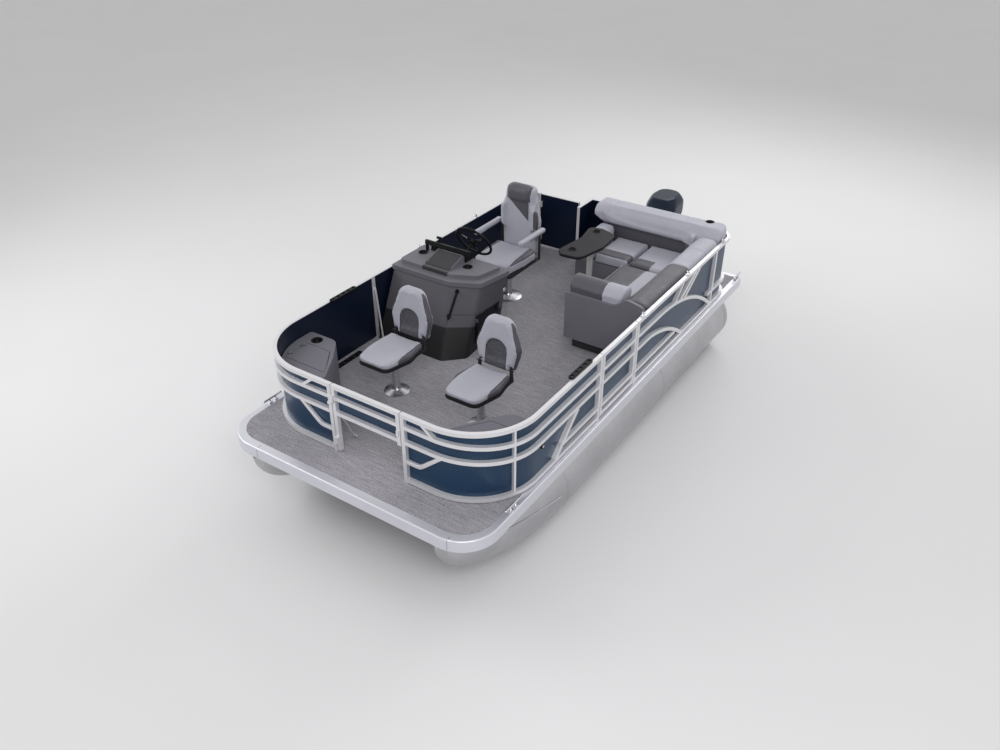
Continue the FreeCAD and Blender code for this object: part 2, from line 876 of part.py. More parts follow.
def sloping_rail(side, gate_x, y1, bow_level, side_level):
    return [bow_line(side, gate_x, bow_level), corner_rail(side, bow_level, side_level),
            side_rail(side, FRONT + CORNER, y1, side_level)]


# The short slanted bar between the top rail and the second rail.
def bow_slant(side, gate_x):
    g = side * gate_x
    high, low, run, width = TOP_LOW + SINK, BOW_TWO + RAIL - SINK, 95, 36
    start = 170
    corners = [(start, high), (start + width, high), (start + width + run, low), (start + run, low)]
    return across([(g + side * x, DECK + level) for x, level in corners], FRONT, FRONT + RAIL)


def corner_strip(side):
    half = size("corner_strip") / 2
    strip = box(-half, half, 0, RAIL, DECK + FOOT + RAIL, DECK + TOP_LOW)
    strip.rotate(V(0, 0, 0), V(0, 0, 1), side * size("corner_strip_turn"))
    strip.translate(corner_spot(side, size("corner_strip_turn"), CORNER))
    return strip.common(bow_band(side, FENCE_X - CORNER, FRONT + CORNER, 0, RAIL, FOOT, TOP))


def bow_section(side, gate_x, y1):
    pieces = [bow_band(side, gate_x, y1, 0, RAIL, TOP_LOW, TOP),
              bow_band(side, gate_x, y1, 0, RAIL, FOOT, FOOT + RAIL)]
    pieces += sloping_rail(side, gate_x, y1, BOW_TWO, TWO)
    pieces += sloping_rail(side, gate_x, y1, BOW_THREE, THREE)
    pieces.append(post(gate_x if side > 0 else -gate_x - RAIL, FRONT))
    pieces.append(side_band(side, y1 - RAIL, y1, 0, RAIL, 0, TOP))
    pieces += [bow_slant(side, gate_x), corner_strip(side)]
    pieces.append(side_rail(side, size("rail_four_front"), y1, FOUR))
    pieces.append(side_bar(side, (size("strut_foot"), FOOT + RAIL - SINK),
                           (size("strut_head"), THREE + SINK),
                           size("strut_width")))
    for angle in (0, 45, 90):
        spot = corner_spot(side, angle, CORNER - RAIL / 2) + V(0, 0, DECK)
        pieces.append(cylinder(size("foot_radius"), spot, spot + V(0, 0, FOOT + SINK)))
    return join(pieces)


# The rod that props the post behind the helm, from a lug on the post to a round foot on the deck.
def brace_rod():
    radius = size("brace_radius")
    start = V(-FENCE_X + RAIL + radius, starboard_post + radius + 2, DECK + size("brace_level"))
    foot = V(size("helm_brace_x"), size("helm_brace_y"), DECK)
    lug = box(-FENCE_X + RAIL - 1, start.x, start.y - radius, start.y + radius, start.z - 12, start.z + 12)
    below = box(foot.x - 60, foot.x + 60, foot.y - 60, foot.y + 60, DECK - 60, DECK)
    plate_high = 5
    return [lug, cylinder(radius, start, foot).cut(below),
            cylinder(size("brace_foot_radius"), foot, foot + V(0, 0, plate_high))]


gate_port = size("bow_gate_port")
gate_starboard = -size("bow_gate_starboard")
gap = size("gate_gap")
side_front = size("side_gate_front")
starboard_post = size("starboard_post")
side_hinge_x = FENCE_X - RAIL - SHEET - HINGE_OFF
side_hinge_y = side_front + gap / 2
eyes = hinge_eyes(side_hinge_x, side_hinge_y,
                  (side_hinge_x - EYE_R, FENCE_X - RAIL + 1, side_front - 20, side_hinge_y - HINGE_R - 1))
feature("fence_bow_port", join([bow_section(1, gate_port, side_front)] + eyes))
bow_hinge_x = -gate_starboard + gap / 2
bow_hinge_y = FRONT - HINGE_OFF
eyes = hinge_eyes(bow_hinge_x, bow_hinge_y,
                  (-gate_starboard - 20, bow_hinge_x - HINGE_R - 1, bow_hinge_y - EYE_R, FRONT + 1))
feature("fence_bow_starboard", join([bow_section(-1, gate_starboard, starboard_post)] + eyes))


# The aft sections: level rails that sweep down in two arcs, with slanted pieces above them.
def aft_rails(side, y0, y1):
    foot_middle = FOOT + RAIL / 2
    pieces = [side_rail(side, y0, y1, TOP_LOW), side_rail(side, y0, y1, FOOT),
              side_band(side, y0, y0 + RAIL, 0, RAIL, 0, TOP)]
    low_start, high_start = size("low_sweep_start"), size("high_sweep_start")
    pieces.append(side_rail(side, y0, low_start + SINK, THREE))
    pieces.append(side_arc(side, [(low_start, THREE + RAIL / 2),
                                  (size("low_sweep_middle"), size("low_sweep_level")),
                                  (size("low_sweep_end"), foot_middle)]))
    pieces.append(side_rail(side, y0, high_start + SINK, TWO))
    pieces.append(side_arc(side, [(high_start, TWO + RAIL / 2),
                                  (size("high_sweep_middle"), size("high_sweep_level")),
                                  (size("high_sweep_end"), foot_middle)]))
    pieces.append(side_rail(side, y0, size("rail_four_rear"), FOUR))
    slant, run, head = size("slant_first"), size("slant_run"), TOP_LOW + SINK
    thin = size("thin_slant")
    pieces.append(side_bar(side, (slant, 425), (slant + run, head), size("slant_width")))
    slant += size("slant_pitch")
    pieces.append(side_bar(side, (slant, 400), (slant + run, head), size("slant_width")))
    pieces.append(side_bar(side, (thin, 440), (thin + run * 0.55, head), size("thin_slant_width")))
    return pieces


# Port: round the stern corner to the return beside the lounge's end.
corner = size("fence_stern_corner")
return_port = size("return_port")
return_front = size("return_front")
end_x = return_port - RAIL
side_rear = size("side_gate_rear")


def stern_band(inset, width, bottom, top, start, end):
    a, b = inset, inset + width
    outer_r, inner_r = max(corner - a, 5), max(corner - b, 5)
    corners = [(FENCE_X - a, start), (FENCE_X - a, STERN - a, outer_r), (end, STERN - a),
               (end, STERN - b), (FENCE_X - b, STERN - b, inner_r), (FENCE_X - b, start)]
    return prism(corners, DECK + bottom, DECK + top)


stern_start = STERN - corner
stern_level = size("stern_rail_level")
divider = size("divider_post")
stern_post = size("stern_post")
aft = aft_rails(1, side_rear, stern_start)
for level in (TOP_LOW, stern_level, FOOT):
    aft.append(stern_band(0, RAIL, level, level + RAIL, stern_start, end_x))
aft.append(side_rail(1, size("stern_rail_front"), stern_start, stern_level))
aft.append(side_band(1, divider, divider + RAIL, 0, RAIL, 0, TOP))
aft += [post(end_x, STERN - RAIL), post(end_x, return_front), post(stern_post, STERN - RAIL)]
for level in (TOP_LOW, FOOT):
    aft.append(box(end_x, return_port, return_front, STERN, DECK + level, DECK + level + RAIL))
feature("fence_port_aft", join(aft))

# Starboard: straight to the stern gate, with a short return and the rod by the console.
gate_face = size("stern_gate_face")
return_x = -FENCE_X + size("stern_return")
stb = aft_rails(-1, starboard_post, gate_face)
for level in (TOP_LOW, FOOT):
    stb.append(box(-FENCE_X, return_x, gate_face - RAIL, gate_face, DECK + level, DECK + level + RAIL))
stb += [post(return_x - RAIL, gate_face - RAIL), post(-FENCE_X, gate_face - RAIL)]
stb += brace_rod()
stern_hinge_x = return_x + gap / 2
stern_hinge_y = gate_face - RAIL - SHEET - HINGE_OFF
stb += hinge_eyes(stern_hinge_x, stern_hinge_y,
                  (return_x - 20, stern_hinge_x - HINGE_R - 1, stern_hinge_y - EYE_R, gate_face - RAIL + 1))
feature("fence_starboard", join(stb))

# Sheets behind the rails. Each laps onto the posts at its ends.
EDGE = size("panel_edge")
LAP = size("post_lap")
SKIN = RAIL + GAP
low, high = FOOT + EDGE, TOP - EDGE
skins = [bow_band(1, gate_port, side_front - RAIL + LAP, SKIN, SHEET, low, high),
         bow_band(-1, gate_starboard, starboard_post - RAIL + LAP, SKIN, SHEET, low, high),
         stern_band(SKIN, SHEET, low, high, side_rear, return_port),
         side_band(-1, starboard_post + RAIL - LAP, gate_face - RAIL - 1, SKIN, SHEET, low, high),
         box(-FENCE_X + SKIN + SHEET, return_x - RAIL + LAP, gate_face - SKIN - SHEET, gate_face - SKIN,
             DECK + low, DECK + high),
         box(return_port + GAP, return_port + GAP + SHEET, return_front, STERN - SKIN - SHEET - 1,
             DECK + low, DECK + high)]
feature("fence_panels", Part.makeCompound(skins))

# Gates
lift = size("gate_lift")
CATCH = 1


# The gate's sheet, cut away where its hinge leaves pass.
def gate_sheet(panel, leaf):
    for level in HINGE_LEVELS:
        panel = panel.cut(box(*leaf, DECK + level - GAP, DECK + level + LEAF_HEIGHT + GAP))
    return panel


# Bow gate: hinged on its starboard stile, on pins in front of the rails, with a latch.
x0 = -gate_starboard + gap
x1 = gate_port - gap
latch_low = DECK + BOW_THREE + 60
frame = [box(x0, x0 + RAIL, FRONT, FRONT + RAIL, DECK + lift, DECK + TOP),
         box(x1 - RAIL, x1, FRONT, FRONT + RAIL, DECK + BOW_THREE - size("bow_gate_drop"), DECK + TOP)]
for level in (TOP_LOW, BOW_TWO, BOW_THREE):
    frame.append(box(x0, x1, FRONT, FRONT + RAIL, DECK + level, DECK + level + RAIL))
frame += hinge_pins(bow_hinge_x, bow_hinge_y, (bow_hinge_x, x0 + RAIL - EDGE, bow_hinge_y - EYE_R,
                                               FRONT + CATCH))
frame.append(box(x1 - 26, x1 - 6, FRONT - 14, FRONT + CATCH, latch_low, latch_low + 50))
# a thin rod hangs from the gate's lowest rail to a small foot just over the deck
rod_r = size("drop_rod_radius")
head = V(x0 + size("drop_rod_head"), FRONT + RAIL - rod_r, DECK + BOW_THREE + 2)
foot = V(size("drop_rod_x"), size("drop_rod_y"), DECK + size("drop_rod_lift") + rod_r)
frame += [cylinder(rod_r, head, foot), Part.makeSphere(rod_r, foot),
          cylinder(rod_r, foot, foot + V(34, 0, 0))]
feature("bow_gate_frame", join(frame))
bow_sheet = doc.addObject("Part::Box", "bow_gate_panel")
bow_sheet.setExpression("Length",
                        "Sizes.bow_gate_port - Sizes.bow_gate_starboard"
                        " - 2 * (Sizes.gate_gap + Sizes.panel_edge)")
bow_sheet.setExpression("Width", "Sizes.panel_sheet")
bow_sheet.setExpression("Height", "Sizes.fence_height - Sizes.rail_three_bow - 2 * Sizes.panel_edge")
finish(bow_sheet, "bow_gate_panel", "(Sizes.bow_gate_starboard + Sizes.gate_gap + Sizes.panel_edge) * 1 mm",
       "(Sizes.fence_front + Sizes.rail + Sizes.soft_gap) * 1 mm",
       "(Sizes.deck_top + Sizes.rail_three_bow + Sizes.panel_edge) * 1 mm")

# Port gate: hinged forward on pins inside the fence, so that it swings inward.
y0 = side_front + gap
y1 = side_rear - gap
xa, xb = FENCE_X - RAIL, FENCE_X
frame = [box(xa, xb, y0, y0 + RAIL, DECK + lift, DECK + TOP),
         box(xa, xb, y1 - RAIL, y1, DECK + lift, DECK + TOP)]
for level in (TOP_LOW, TWO, THREE, FOUR, lift + EDGE):
    frame.append(box(xa, xb, y0, y1, DECK + level, DECK + level + RAIL))
frame += hinge_pins(side_hinge_x, side_hinge_y, (side_hinge_x - EYE_R, xa + CATCH, side_hinge_y,
                                                 y0 + RAIL - EDGE))
feature("port_gate_frame", join(frame))
panel = box(xa - GAP - SHEET, xa - GAP, y0 + EDGE, y1 - EDGE, DECK + lift + EDGE, DECK + TOP - EDGE)
feature("port_gate_panel", gate_sheet(panel, (xa - SHEET - CATCH, xa + CATCH, y0, y0 + RAIL - EDGE + GAP)))

# Stern gate: hinged on the short return, swinging inward.
x0 = return_x + gap
x1 = size("stern_gate_port") - gap
ya, yb = gate_face - RAIL, gate_face
frame = [box(x0, x0 + RAIL, ya, yb, DECK + lift, DECK + TOP),
         box(x1 - RAIL, x1, ya, yb, DECK + lift, DECK + TOP)]
for level in (TOP_LOW, TWO, THREE, FOUR, lift + EDGE):
    frame.append(box(x0, x1, ya, yb, DECK + level, DECK + level + RAIL))
frame += hinge_pins(stern_hinge_x, stern_hinge_y, (stern_hinge_x, x0 + RAIL - EDGE, stern_hinge_y - EYE_R,
                                                   ya + CATCH))
feature("stern_gate_frame", join(frame))
panel = box(x0 + EDGE, x1 - EDGE, ya - GAP - SHEET, ya - GAP, DECK + lift + EDGE, DECK + TOP - EDGE)
feature("stern_gate_panel", gate_sheet(panel, (x0, x0 + RAIL - EDGE + GAP, ya - SHEET - CATCH, ya + CATCH)))


# Helm console: a raked shell, open at the back towards the helm, with a door in its port side.
# Its plan blends from the deck, where share is 0, to its top edge, where share is 1.
C_FRONT = size("console_front")
C_REAR = size("console_rear")
C_STB = size("console_starboard")
C_TOP = size("console_height")
C_WALL = size("console_wall")
RAKE = size("console_rake")
C_ROUND = 60


def blend(name, share):
    return size(name + "_low") + (size(name + "_high") - size(name + "_low")) * share


def facet_ends(share):
    front = C_FRONT + RAKE * share
    return (V(blend("console_facet", share), front, DECK + C_TOP * share),
            V(blend("console_side", share), front + blend("facet_run", share), DECK + C_TOP * share))


def console_outline(inset, z, share):
    start, end = facet_ends(share)
    rear = C_REAR - inset
    return outline([(C_STB + inset, start.y + inset), (start.x - inset * 0.3, start.y + inset, C_ROUND),
                    (end.x - inset, end.y + inset, C_ROUND), (blend("console_stern", share) - inset, rear),
                    (C_STB + inset, rear)], z)


def console_hull(inset, spill):
    return Part.makeLoft([console_outline(inset, DECK - spill, 0),
                          console_outline(inset, DECK + C_TOP + spill, 1)],
                         True, True)


outer = console_hull(0, 0)
inner = console_hull(C_WALL, 0.5)
shell = outer.cut(inner)
foot_well = box(size("foot_well_starboard"), size("foot_well_port"), C_REAR - 60, C_REAR + 10,
                DECK + size("foot_well_low"), DECK + size("foot_well_high"))
door_gap = size("door_gap")
d_front, d_rear = size("door_front"), size("door_rear")
d_low, d_high = DECK + size("door_bottom"), DECK + size("door_top")
port_side = -100
door_depth = -420
hole = box(door_depth, port_side, d_front - door_gap, d_rear + door_gap, d_low - door_gap,
           d_high + door_gap)
door = shell.common(box(door_depth, port_side, d_front, d_rear, d_low, d_high))
shell = shell.cut(foot_well).cut(hole)
door_x = size("door_hinge_x")
door_y = d_front - door_gap / 2
KNUCKLE = size("knuckle")
PIN_LOW, PIN_HIGH = d_low + 20, d_high - 20
knuckles = []
for low in (PIN_LOW, PIN_HIGH - KNUCKLE):
    knuckle = cylinder(EYE_R, V(door_x, door_y, low), V(door_x, door_y, low + KNUCKLE))
    strap = box(door_x - 26, door_x, door_y - EYE_R - 3, door_y - 3, low, low + KNUCKLE)
    bore = cylinder(HINGE_BORE, V(door_x, door_y, low - 1), V(door_x, door_y, low + KNUCKLE + 1))
    knuckles.append(knuckle.fuse(strap).cut(bore))
feature("console_shell", join([shell] + knuckles))

pull = box(door_x - 18, door_x + 4, d_rear - 50, d_rear - 20, d_high - 60, d_high - 30)
LEAF_LOW, LEAF_HIGH = PIN_LOW + KNUCKLE + GAP, PIN_HIGH - KNUCKLE - GAP
hinge = cylinder(HINGE_R, V(door_x, door_y, PIN_LOW), V(door_x, door_y, PIN_HIGH))
barrel = cylinder(EYE_R, V(door_x, door_y, LEAF_LOW), V(door_x, door_y, LEAF_HIGH))
leaf = box(door_x - 24, door_x + 3, door_y, door_y + 30, LEAF_LOW, LEAF_HIGH)
leaf = leaf.cut(inner).cut(box(door_depth, door_x - 14, d_front - 90, d_front, DECK, DECK + C_TOP))
feature("console_door", join([door, hinge, barrel, leaf, pull]))

# Grab handle on the console's front facet.
handle_r = size("grab_radius")
stand_off = size("grab_stand_off")
ends = []
pieces = []
for share, along_facet in ((size("grab_low_share"), 0.1), (size("grab_high_share"), 0.28)):
    start, end = facet_ends(share)
    facet = end - start
    spot = start + facet * along_facet
    outward = V(facet.y, -facet.x, 0).normalize()
    ends.append(spot + outward * stand_off)
    pieces += [cylinder(handle_r, spot - outward * 30, ends[-1]), Part.makeSphere(handle_r, ends[-1]),
               cylinder(handle_r + 7, spot - outward * 30, spot + outward * 10)]
pieces.append(cylinder(handle_r, ends[0], ends[1]))
feature("console_grab", join(pieces).cut(outer))

# The moulded top: a lip, a raised step and the sloping instrument pod, all one wall thick.
# It hangs over the shell, and a flange inside the lip rests on the shell's edge.
C_OVER = size("console_over")
LIP_Z = DECK + C_TOP + size("console_lip")
STEP_Z = LIP_Z + size("dash_step")
TOP_FRONT = C_FRONT + RAKE
POD_FRONT = TOP_FRONT + size("dash_pod_set_back")
POD_REAR = POD_FRONT + size("dash_pod_length")
POD_TOP = LIP_Z + size("dash_pod_height")
POD_STB, POD_PORT = size("dash_pod_starboard"), size("dash_pod_port")
STEP_SINK = 20


def console_top(inset, bottom):
    lip_face = Part.Face(console_outline(inset - C_OVER, bottom, 1))
    lip_solid = lip_face.extrude(V(0, 0, LIP_Z - inset - bottom))
    step_front = TOP_FRONT + 60 + inset
    step_rear = C_REAR - STEP_SINK - inset
    step_starboard = C_STB + STEP_SINK + inset
    step = prism([(step_starboard, step_front, 40), (-520, step_front, 80),
                  (-300 - inset, TOP_FRONT + 165, 50),
                  (-240 - inset, step_rear, 20), (step_starboard, step_rear, 20)],
                 LIP_Z - STEP_SINK, STEP_Z - inset)
    pod_solid = along([(POD_FRONT + inset, LIP_Z), (POD_FRONT + 25 + inset, LIP_Z + 50 - inset),
                       (POD_REAR - 17, POD_TOP - inset), (POD_REAR - inset, POD_TOP - 8 - inset),
                       (POD_REAR - inset, LIP_Z)], POD_STB + inset, POD_PORT - inset)
    return join([lip_solid, step, pod_solid])


top_low = DECK + C_TOP + GAP
mouth = Part.Face(console_outline(C_WALL + size("console_flange"), DECK + C_TOP - 1, 1)).extrude(V(0, 0,
                                                                                                   20))
top_solid = console_top(0, top_low).cut(console_top(C_WALL, top_low + C_WALL)).cut(mouth)
dash_cup = size("dash_cup_radius")
CUP_WALL = 4
for cup_side in ("port", "starboard"):
    spot = V(size("dash_cup_%s_x" % cup_side), size("dash_cup_%s_y" % cup_side), 0)
    low = spot + V(0, 0, DECK + C_TOP + 6)
    high = spot + V(0, 0, STEP_Z)
    well = cylinder(dash_cup, low + V(0, 0, CUP_WALL), high + V(0, 0, 30))
    flange_ring = cylinder(dash_cup + 7, high - V(0, 0, 2), high + V(0, 0, 3))
    top_solid = top_solid.cut(well).fuse(cylinder(dash_cup + CUP_WALL, low,
                                                  high).fuse(flange_ring).cut(well))

# Instrument housing behind the pod, square to the steering column, under a hood that runs
# on to starboard.
tilt = math.radians(size("wheel_tilt"))
axis = V(0, math.cos(tilt), math.sin(tilt))
wheel = V(size("wheel_x"), size("wheel_y"), DECK + size("wheel_z"))
hood_top = STEP_Z + size("hood_height")
hood_low = hood_top - size("hood_thickness")
hood_start = POD_REAR + GAP
hood_end = hood_start + size("hood_depth")
housing = along([(hood_start, STEP_Z), (hood_start, hood_low + 10, 8), (hood_end, hood_low + 10, 20),
                 (C_REAR - 24, STEP_Z + 8, 8), (C_REAR - 24, STEP_Z)], POD_STB - 15, POD_PORT + 15)
hood = along([(hood_start, hood_low), (hood_start + 8, hood_top, 6), (hood_end, hood_top - 6, 8),
              (hood_end, hood_low, 6)], size("hood_starboard"), POD_PORT + 60)
hood_leg = box(size("hood_starboard"), size("hood_starboard") + 20, hood_start + 10, hood_end - 4, STEP_Z,
               hood_low + 5)
dash = join([housing, hood, hood_leg])
column_r = size("column_radius")
bore = cylinder(column_r + size("column_clearance"), wheel - axis * 240, wheel)
feature("console_top", top_solid.cut(bore))
feature("console_dash", dash.cut(bore))

# Steering wheel: a rim, a hub on its column and three flat spokes.
WHEEL_R = size("wheel_radius")
rim = Part.makeTorus(WHEEL_R, size("wheel_rim"), V(0, 0, 0), V(0, 0, 1))
hub = Part.makeCylinder(size("wheel_hub"), 34, V(0, 0, -30), V(0, 0, 1))
half = size("spoke_width") / 2
spoke = box(20, WHEEL_R, -half, half, -size("spoke_thickness") - 1, -1)
slot = box(WHEEL_R * 0.36, WHEEL_R * 0.76, -half / 3, half / 3, -20, 20)
spoke = spoke.cut(slot)
spokes = [spoke.rotated(V(0, 0, 0), V(0, 0, 1), angle) for angle in (90, 210, 330)]
column = Part.makeCylinder(column_r, size("column_length"), V(0, 0, -25 - size("column_length")),
                           V(0, 0, 1))
wheel_shape = join([rim, hub, column] + spokes)
wheel_shape.Placement = FreeCAD.Placement(wheel, FreeCAD.Rotation(V(0, 0, 1), axis))
feature("steering_wheel", wheel_shape)

# Throttle: a pod with a lever on its port side and a grip across the lever's end.
thr = V(size("throttle_x"), size("throttle_y"), STEP_Z)
lever_z = thr.z + 26
lever = along([(thr.y - 12, lever_z), (thr.y - 10, lever_z + 95, 8), (thr.y + 10, lever_z + 95, 8),
               (thr.y + 12, lever_z)],
              thr.x + 34, thr.x + 44)
throttle_pod = along([(thr.y - 45, thr.z), (thr.y - 36, thr.z + 44, 12), (thr.y + 30, thr.z + 44, 12),
                      (thr.y + 45, thr.z)], thr.x - 30, thr.x + 30)
throttle = join([throttle_pod, cylinder(22, V(thr.x + 30, thr.y, lever_z), V(thr.x + 44, thr.y, lever_z)),
                 lever,
                 cylinder(13, V(thr.x + 14, thr.y, lever_z + 94), V(thr.x + 60, thr.y, lever_z + 94))])
feature("throttle_control", throttle)

# Fishing chairs
SEAT = DECK + size("chair_seat_top")
CUSHION = size("chair_cushion")
SHELL_BOTTOM = SEAT - CUSHION - size("chair_pan")
BEARING = SHELL_BOTTOM - size("chair_bearing")


# A pedestal is turned: a flared foot, a straight post and the plate that the chair bears on.
def pedestal(name, base_radius, post_radius, top, x, y):
    body = new_body(name)
    high = top - DECK
    turn(body, name + "_turning", [(0, 0), (base_radius, 0), (base_radius, 5), (base_radius - 22, 12),
                                   (post_radius + 8, 26), (post_radius, 40), (post_radius, high),
                                   (0, high)])
    body.setExpression("Placement.Base.x", x)
    body.setExpression("Placement.Base.y", y)
    body.setExpression("Placement.Base.z", "Sizes.deck_top")
    return body


def soften(shape, radius, chosen):
    return shape.makeFillet(radius, [edge for edge in shape.Edges if chosen(edge.BoundBox)])


def seat_outline(width, front, rear, x, y, inset=0.0):
    w = width / 2 - inset
    return [(x - w * 0.72, y - front + inset, 70), (x + w * 0.72, y - front + inset, 70),
            (x + w, y - 40, 60),
            (x + w * 0.8, y + rear - inset, 40), (x - w * 0.8, y + rear - inset, 40), (x - w, y - 40, 60)]


# A padded seat: round edges, and a dish along its middle.
def padded_seat(plan, low, high, round_over, dish, reach, x, y):
    block = prism(plan, low, high)
    block = soften(block, round_over, lambda b: b.ZMin > high - 0.1)
    dish_r = (reach ** 2 + dish ** 2) / (2 * dish)
    centre = V(x, y, high + dish_r - dish)
    return block.cut(cylinder(dish_r, centre - V(0, 800, 0), centre + V(0, 800, 0)))


BACK_Y = size("chair_y") + size("chair_rear")
HINGE_Y = BACK_Y + 11
HINGE_Z = SEAT + 8
PIN_R = size("back_pin")
ARM_SPREAD = size("chair_arm_spread")
ARM_HALF = 9
SEAT_ROUND = 22
BACK_ROUND = 26


def fishing_chair(side, name):
    x, y = side * size("chair_x"), size("chair_y")
    width, front, rear = size("chair_width"), size("chair_front"), size("chair_rear")
    pan_wires = [outline(seat_outline(width, front, rear, x, y, 62), SHELL_BOTTOM),
                 outline(seat_outline(width, front, rear, x, y, 5), SEAT - CUSHION)]
    pieces = [Part.makeLoft(pan_wires, True, True), cylinder(70, V(x, y, BEARING + GAP),
                                                             V(x, y, SHELL_BOTTOM + 2))]
    for s in (1, -1):
        ex = x + s * ARM_SPREAD
        pieces.append(box(ex - ARM_HALF, ex + ARM_HALF, y + 60, BACK_Y + 40, SHELL_BOTTOM,
                          SHELL_BOTTOM + 24))
        upright = along([(BACK_Y + 4, SHELL_BOTTOM), (BACK_Y + 4, HINGE_Z + 8, 6),
                         (BACK_Y + 24, HINGE_Z + 8, 6),
                         (BACK_Y + 40, SHELL_BOTTOM)], ex - ARM_HALF, ex + ARM_HALF)
        pieces += [upright, cylinder(PIN_R, V(ex - 24, HINGE_Y, HINGE_Z), V(ex + 24, HINGE_Y, HINGE_Z))]
    feature(name + "_shell", join(pieces))
    cushion = padded_seat(seat_outline(width, front, rear, x, y), SEAT - CUSHION + GAP, SEAT, SEAT_ROUND,
                          size("chair_dish"), 150, x, y)
    feature(name + "_cushion", cushion)
    half = size("chair_back_width") / 2
    low = SEAT - 26
    high = SEAT + size("chair_back_height")
    profile = [(x - half * 0.78, low, 60), (x - half, low + 190, 150), (x - half * 0.52, high, 110),
               (x + half * 0.52, high, 110), (x + half, low + 190, 150), (x + half * 0.78, low, 60)]
    y0 = BACK_Y + 10
    y1 = y0 + size("chair_back_depth")
    back = soften(across(profile, y0, y1), BACK_ROUND, lambda b: b.YMax - b.YMin < 0.1)
    arch_half = size("chair_arch_width") / 2
    arch = across([(x - arch_half, SEAT + size("chair_arch_low"), 20),
                   (x - arch_half, SEAT + size("chair_arch_high"), 90),
                   (x + arch_half, SEAT + size("chair_arch_high"), 90),
                   (x + arch_half, SEAT + size("chair_arch_low"), 20)],
                  y0 - 5, y0 + size("chair_arch_depth"))
    back = back.cut(arch)
    for s in (1, -1):
        ex = x + s * ARM_SPREAD
        back = back.cut(box(ex - ARM_HALF - 6, ex + ARM_HALF + 6, y0 - 4, y0 + 44, low - 10, HINGE_Z + 18))
        back = back.cut(cylinder(PIN_R + CLEARANCE, V(ex - 25, HINGE_Y, HINGE_Z),
                                 V(ex + 25, HINGE_Y, HINGE_Z)))
    lean = math.degrees(math.atan(size("chair_back_lean") / size("chair_back_height")))
    back.rotate(V(x, HINGE_Y, HINGE_Z), V(-1, 0, 0), lean)
    feature(name + "_back", back)


fishing_chair(1, "chair_port")
fishing_chair(-1, "chair_starboard")

# Helm chair: a wide seat, a high back with wings and a headrest, and two arm rests that lift.
hx, hy = size("helm_x"), size("helm_y")
H_SEAT = DECK + size("helm_seat_top")
H_PAN = size("helm_pan")
H_LOW = H_SEAT - size("helm_cushion") - H_PAN
H_BEARING = H_LOW - size("helm_bearing")
ROOT = "Sizes.chair_y * 1 mm"
group("seat_pedestals", [
    pedestal("pedestal_port", size("chair_base"), size("chair_post"), BEARING, "Sizes.chair_x * 1 mm",
             ROOT),
    pedestal("pedestal_starboard", size("chair_base"), size("chair_post"), BEARING,
             "-Sizes.chair_x * 1 mm", ROOT),
    pedestal("pedestal_helm", size("helm_base"), size("helm_post"), H_BEARING, "Sizes.helm_x * 1 mm",
             "Sizes.helm_y * 1 mm")])
w = size("helm_width") / 2
half = size("helm_back_width") / 2
back_y = hy + size("helm_rear") + 12
back_rear = back_y + size("helm_back_depth")
arm_y, arm_z = back_y + 40, H_SEAT + size("helm_arm_level")
pivot_r = PIN_R + 2
pan_plan = [(hx - w + 20, hy - size("helm_front") + 20, 60), (hx + w - 20, hy - size("helm_front") + 20,
                                                              60),
            (hx + w - 20, hy + size("helm_rear"), 30), (hx - w + 20, hy + size("helm_rear"), 30)]
slide = [cylinder(80, V(hx, hy, H_BEARING + GAP), V(hx, hy, H_LOW + 2)),
         prism(pan_plan, H_LOW, H_LOW + H_PAN)]
for s in (1, -1):
    strap_x = hx + s * 120
    slide.append(box(strap_x - 10, strap_x + 10, hy + 60, back_rear + 12, H_LOW, H_LOW + 30))
    slide.append(box(strap_x - 10, strap_x + 10, back_rear, back_rear + 12, H_LOW, H_SEAT + 200))
    x0, x1 = sorted((hx + s * (half + 1), hx + s * (half + 6)))
    slide.append(along([(arm_y - 20, H_LOW), (arm_y - 20, arm_z + 20, 18), (arm_y + 20, arm_z + 20, 18),
                        (arm_y + 20, H_LOW)],
                       x0, x1))
    x0, x1 = sorted((strap_x - s * 10, hx + s * (half + 6)))
    slide.append(box(x0, x1, hy + 100, arm_y + 20, H_LOW, H_LOW + 6))
    x0, x1 = sorted((hx + s * (half + 5), hx + s * (half + 40)))
    slide.append(cylinder(pivot_r, V(x0, arm_y, arm_z), V(x1, arm_y, arm_z)))
feature("helm_seat_shell", join(slide))
seat_plan = [(hx - w * 0.86, hy - size("helm_front"), 80), (hx + w * 0.86, hy - size("helm_front"), 80),
             (hx + w, hy - 60, 120),
             (hx + w, hy + size("helm_rear"), 40), (hx - w, hy + size("helm_rear"), 40),
             (hx - w, hy - 60, 120)]
feature("helm_seat_cushion", padded_seat(seat_plan, H_LOW + H_PAN + GAP, H_SEAT, 34, 16, 170, hx, hy))
high = H_SEAT + size("helm_back_height")
back_low = H_LOW + H_PAN + 6
profile = [(hx - half + 20, back_low, 40), (hx - half, H_SEAT + 240, 200), (hx - half * 0.72, high, 70),
           (hx + half * 0.72, high, 70), (hx + half, H_SEAT + 240, 200), (hx + half - 20, back_low, 40)]
back = across(profile, back_y, back_rear - GAP)
back = soften(back, 34, lambda b: b.YMax - b.YMin < 0.1)
wing_reach = size("helm_wing")
for s in (1, -1):
    x0, x1 = sorted((hx + s * (half - 74), hx + s * (half - 22)))
    wing = along([(back_y + 60, H_SEAT + 90), (back_y - wing_reach, H_SEAT + 170, 60),
                  (back_y - wing_reach, H_SEAT + 380, 60),
                  (back_y + 60, H_SEAT + 480)], x0, x1)
    back = back.fuse(soften(wing, 18, lambda b: b.XMax - b.XMin < 0.1 and b.YMin < back_y + 20))
pillow_half = size("headrest_width") / 2
pillow_low = high - size("headrest_height")
